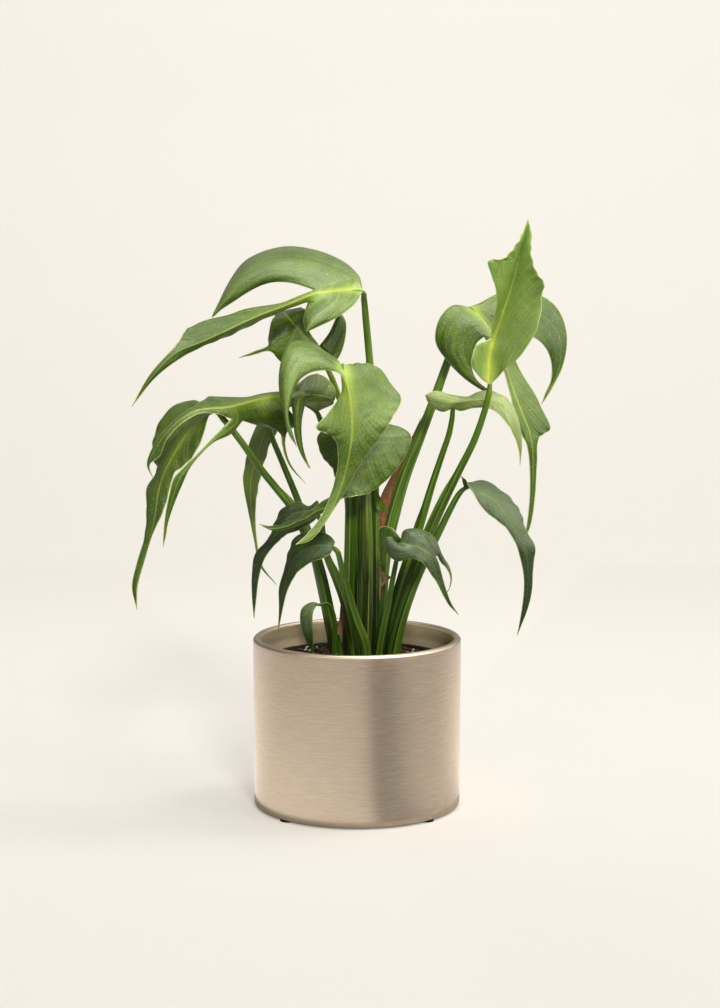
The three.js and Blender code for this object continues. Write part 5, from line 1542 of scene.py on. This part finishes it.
LEAVES["leaf_right_small"] = dict(
    slot="leaf_dark", sheath=((0, -1, 0), 580),
    stalk=[
        (377, 680, 30, 2.6), (379, 652, 30, 2.6), (384, 623, 30, 2.5), (388, 606, 30, 2.4),
        (393, 578, 31, 2.2), (396.5, 560, 33, 2), (398.5, 549, 37, 1.8)],
    midrib=[
        (400, 543, 42), (409, 545, 44), (419, 548, 45), (428, 554, 45), (434, 566, 45), (438, 578, 45),
        (444.5, 593, 45), (450.5, 605, 45), (459, 615, 45)],
    left=dict(
        edge=[(439.5, 565, 43.5), (442.5, 577, 44), (447, 592, 44.5), (452, 604.5, 45)],
        lobes=[
            dict(span=(0, 3), tip=(447, 593, 36),
                 near=[
                     (404, 530, 36), (420, 529.5, 33), (434, 537, 32), (443, 555, 32), (449, 565, 33),
                     (452, 576, 34), (451, 585, 35)],
                 rib=[
                     (420, 541, 42), (429, 542, 40), (436, 547, 36), (442, 558, 34), (447.5, 566.5, 34),
                     (451, 576.5, 34.7), (450.4, 585, 35.3)],
                 far=[
                     (436, 556, 42), (437, 556, 39), (438, 557, 36), (441, 562, 34.5), (446, 568, 34.5),
                     (450, 577, 35), (449.7, 585, 35.5)]),
        ],
    ),
    right=dict(
        edge=[(423, 563, 49), (430, 573, 48), (436.5, 582, 47), (443, 595, 46), (449.5, 606, 45.5)],
        lobes=[
            dict(span=(0, 2), tip=(384.5, 545, 47.5),
                 near=[(396, 542.5, 43), (391, 537, 45), (386, 538, 46)],
                 rib=[(404, 549, 47), (394, 548, 48.5), (388, 546, 49)],
                 far=[(411, 558, 48), (397, 561, 49), (388, 554, 48.5)]),
        ],
    ),
)

LEAVES["bract_green"] = dict(
    slot="green_bract",
    stalk=[(377, 680, 14, 2.8), (378, 640, 14, 2.8), (381, 612, 15, 2.2), (382.5, 598, 16, 1.8)],
    midrib=[
        (383, 588, 17), (383.5, 573, 19), (383.5, 558, 21), (385, 546, 24), (391, 537, 27),
        (398, 537, 29), (404, 543, 30)],
    left=dict(edge=[
        (381.5, 574, 17), (380.5, 558, 18), (379, 542, 20), (380, 527.5, 23), (392, 528, 26)]),
    right=dict(edge=[
        (385.5, 574, 19), (386.5, 560, 21), (388.5, 551, 24), (394, 545, 26), (399, 543, 28)]),
)

LEAVES["sheath_dry_brown"] = dict(
    slot="dry_sheath", stem="dry",
    stalk=[(383, 680, -21, 2.4), (381, 650, -21, 2.2), (379, 610, -21, 1.8), (378.5, 580, -22, 1.5)],
    midrib=[
        (378.5, 566, -22), (378.5, 550, -23), (380, 530, -24), (382.5, 511, -25), (387, 495, -27),
        (393.5, 479, -29), (402.5, 460, -31), (412, 439, -33), (421, 418, -35)],
    left=dict(edge=[
        (376, 549, -21), (376, 530, -22), (377.5, 511, -23), (381.5, 495, -25), (389.5, 479, -27.5),
        (400.5, 460, -30), (411, 439, -33)]),
    right=dict(edge=[
        (381, 549, -23), (384, 530, -24), (388, 511, -26.5), (392, 495, -29), (397, 479.5, -31),
        (404.3, 460.5, -32.5), (413.3, 439.5, -33.5)]),
    flakes=[
        (1, ([(378.5, 560, 26), (380.5, 574, 27), (379.5, 586, 27), (379, 600, 26)],
             [(379.5, 560, 26), (382.5, 573, 27), (381.5, 586, 27), (380, 601, 26)])),
        (1, ([(380, 573, 28), (384, 580, 28), (381, 585, 28)],
             [(382, 571, 28), (387, 575, 29), (391, 577, 28), (386, 582, 28), (382, 586, 28)])),
        (1, ([(342, 588, 12), (340.5, 605, 12), (339, 622, 12), (336, 634, 12)],
             [(343.5, 588, 12), (344, 605, 13), (343, 622, 13), (341, 636, 13)])),
    ],
)

# %% [markdown]
# Each drawing becomes one object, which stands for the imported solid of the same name.

# %% Build the leaves
for name, leaf in LEAVES.items():
    leaf_piece(name, leaf)
print("leaves:", len(LEAVES))

# %% [markdown]
# The plant stands in a bright studio. A large far light in front of it, a little to the right and
# above, shapes the leaves and throws their soft shadow back to the left. A second one from the
# right throws the planter's shadow. A panel overhead and one at the right fill in the dark sides, and
# a lamp of its own lights the backdrop.

# %% Lights
KEYS = {
    "front_key": {"azimuth": 13, "elevation": 33, "power": 1.75, "spread": 11},
    "side_key": {"azimuth": 104, "elevation": 58, "power": 0.7, "spread": 16},
}
KEY_DISTANCE = 3
PANELS = {
    "top_panel": ((0.1, -0.35, 2.0), (0, -0.15, 0.3), 1.2, 11),
    "right_panel": ((2.3, -1.35, 1.6), (0, 0, 0.3), 1.3, 20),
    "backdrop_light": ((0, 0.7, 2.9), (0, 2.0, 1.3), 1.4, 26),
}


def towards(azimuth, elevation):
    """The way to a lamp in degrees: azimuth to the right of the camera's side, and height."""
    turn, height = np.radians(azimuth), np.radians(elevation)
    return np.array((np.sin(turn) * np.cos(height), -np.cos(turn) * np.cos(height), np.sin(height)))


def aimed(thing, place, aim):
    """Puts a lamp at place, in metres, with its -Z side turned towards aim."""
    thing.location = place
    x, y, z = np.array(aim, float) - np.array(place, float)
    thing.rotation_euler = (np.arctan2(np.hypot(x, y), -z), 0, np.arctan2(y, x) - np.pi / 2)
    bpy.context.collection.objects.link(thing)


for name, key in KEYS.items():
    lamp = bpy.data.lights.new(name, "SUN")
    lamp.energy, lamp.angle = key["power"], np.radians(key["spread"])
    thing = bpy.data.objects.new(name, lamp)
    thing.visible_glossy = name != "front_key"
    aimed(thing, KEY_DISTANCE * towards(key["azimuth"], key["elevation"]), (0, 0, 0))
for name, (place, aim, size, power) in PANELS.items():
    lamp = bpy.data.lights.new(name, "AREA")
    lamp.size, lamp.energy = size, power
    aimed(bpy.data.objects.new(name, lamp), place, aim)
print("lights:", len(bpy.data.lights))

# %% [markdown]
# The floor runs up into a backdrop, so that no line shows behind the plant. Where the sweep bends
# it faces the lamps, and would look brighter than the floor. So each row of the paper is toned by
# the light that falls on it, which keeps the whole sweep one even colour. The paper of such a studio
# is lit by lamps of its own, so its shadows are pale. Here it glows a little, for the camera alone:
# a glow that reached the leaves would flatten them. The camera looks through the back of the paper,
# so that the plant can be seen from behind as well.

# %% Sweep
PAPER_COLOUR = colour(243, 239, 231)
PAPER_GLOW = 0.45
FLOOR_FRONT, WALL_STARTS, WALL_BEND, WALL_TOP, HALF_WIDTH = -3.0, 1.2, 0.8, 4.0, 4.0
FLOOR_ROWS, BEND_ROWS = 21, 25
FILL_LIGHT, TOP_LIGHT = 2.2, 0.45
bend = np.linspace(0, np.pi / 2, BEND_ROWS)
flat = np.linspace(FLOOR_FRONT, WALL_STARTS, FLOOR_ROWS + 1)[:-1]
sweep = np.vstack([
    np.stack([flat, np.zeros(FLOOR_ROWS)], axis=1),
    np.stack([WALL_STARTS + WALL_BEND * np.sin(bend), WALL_BEND * (1 - np.cos(bend))], axis=1),
    [(WALL_STARTS + WALL_BEND, WALL_TOP)],
])
slope = unit(np.gradient(sweep, axis=0))
facing = np.stack([np.zeros(len(sweep)), -slope[:, 1], slope[:, 0]], axis=1)
falling = FILL_LIGHT + TOP_LIGHT * facing[:, 2] + sum(
    key["power"] / np.pi * np.maximum(facing @ towards(key["azimuth"], key["elevation"]), 0)
    for key in KEYS.values())
tone = falling.min() / falling
grid = np.array([[(x, y, z) for x in (-HALF_WIDTH, HALF_WIDTH)] for y, z in sweep]) / MM
paper = new_material("paper", Roughness=0.9)
tree = paper.node_tree
surface = tree.nodes["Principled BSDF"]
share = times(tree, field(tree, "tone"), 1 - PAPER_GLOW)
tree.links.new(mixed(tree, 1.0, PAPER_COLOUR, share, blend="MULTIPLY"), surface.inputs["Base Color"])
seen_by_camera = add(tree, "ShaderNodeLightPath").outputs["Is Camera Ray"]
tree.links.new(times(tree, seen_by_camera, PAPER_GLOW), surface.inputs["Emission Strength"])
surface.inputs["Emission Color"].default_value = PAPER_COLOUR
back_face = add(tree, "ShaderNodeNewGeometry").outputs["Backfacing"]
hidden = times(tree, back_face, seen_by_camera)
tree.links.new(calc(tree, "SUBTRACT", 1.0, hidden), surface.inputs["Alpha"])
backdrop = new_piece("backdrop", grid.reshape(-1, 3), grid_triangles(grid), [paper],
                     fields={"tone": np.repeat(tone, 2)})
print("paper tone from", round(tone.min(), 2), "to", round(tone.max(), 2))

# %% [markdown]
# Polished metal and glossy leaves show the room, so the room's brightness needs a shape. A curved
# floor, wall and ceiling stand round the camera's side. The low rows show in the planter, so they
# are bright at the left and dim just right of the camera. The high rows and the ceiling put the
# sheen on the leaves and the planter's lip. The room is seen only in reflections, so it neither
# lights the plant nor casts a shadow. Each list of brightness follows ROOM_AZIMUTHS, in degrees.

# %% Reflected room
ROOM_SECTION = [(0.098, 0.003), (0.6, 0.005), (1.0, 0.007), (1.8, 0.012), (2.6, 0.02), (2.6, 0.8),
                (2.6, 1.1), (2.5, 2.2), (1.3, 2.2), (0.0, 2.2)]
HIGH_ROWS, CEILING_ROWS = 5, 2
ROOM_AZIMUTHS = [-165, -125, -90, -50, -18, 6, 18, 34, 56, 90, 125, 165]
LOW_BRIGHTNESS = [1.0, 1.0, 0.88, 0.85, 0.81, 0.7, 0.35, 0.37, 0.56, 0.71, 0.98, 1.0]
LOW_SHARES = [1.25, 0.98, 0.76, 0.64, 0.6]
CEILING_BRIGHTNESS = [1.4, 1.6, 1.6, 1.8, 2.2, 2.8, 3.0, 3.2, 3.2, 3.0, 2.4, 1.8]
HIGH_BRIGHTNESS = [0.8, 0.4, 0.4, 1.1, 1.4, 1.9, 2.3, 2.6, 2.7, 2.4, 1.7, 1.0]
ROOM_COLUMNS = 101
WORLD_STRENGTH = 0.08
PICTURE_GAMMA = 0.8
azimuth = np.linspace(ROOM_AZIMUTHS[0], ROOM_AZIMUTHS[-1], ROOM_COLUMNS)
turn = np.radians(azimuth)
section = np.array(ROOM_SECTION)[:, None]
wall = np.stack([section[..., 0] * np.sin(turn), -section[..., 0] * np.cos(turn),
                 np.repeat(section[..., 1], len(turn), axis=1)], axis=2) / MM
bright = np.tile(np.interp(azimuth, ROOM_AZIMUTHS, LOW_BRIGHTNESS), (len(section), 1))
bright[:-HIGH_ROWS] *= np.array(LOW_SHARES)[:, None]
bright[-HIGH_ROWS:] = np.interp(azimuth, ROOM_AZIMUTHS, HIGH_BRIGHTNESS)
bright[-CEILING_ROWS:] = np.interp(azimuth, ROOM_AZIMUTHS, CEILING_BRIGHTNESS)
glow = bpy.data.materials.new("room_wall")
glow.use_nodes = True
glow.node_tree.nodes.clear()
light = add(glow.node_tree, "ShaderNodeEmission", {
    "Color": colour(252, 246, 240), "Strength": field(glow.node_tree, "bright")})
add(glow.node_tree, "ShaderNodeOutputMaterial", {"Surface": light.outputs[0]})
room = new_piece("room_wall", wall.reshape(-1, 3), grid_triangles(wall), [glow],
                 fields={"bright": bright.ravel()})
room.visible_camera = room.visible_diffuse = room.visible_shadow = False
room.visible_transmission = room.visible_volume_scatter = False

world = bpy.data.worlds.new("studio")
world.use_nodes = True
around = world.node_tree.nodes["Background"].inputs
around["Color"].default_value = colour(255, 253, 250)
around["Strength"].default_value = WORLD_STRENGTH
bpy.context.scene.world = world
bpy.context.scene.view_settings.view_transform = "Standard"
bpy.context.scene.view_settings.gamma = PICTURE_GAMMA
print("stage ready")
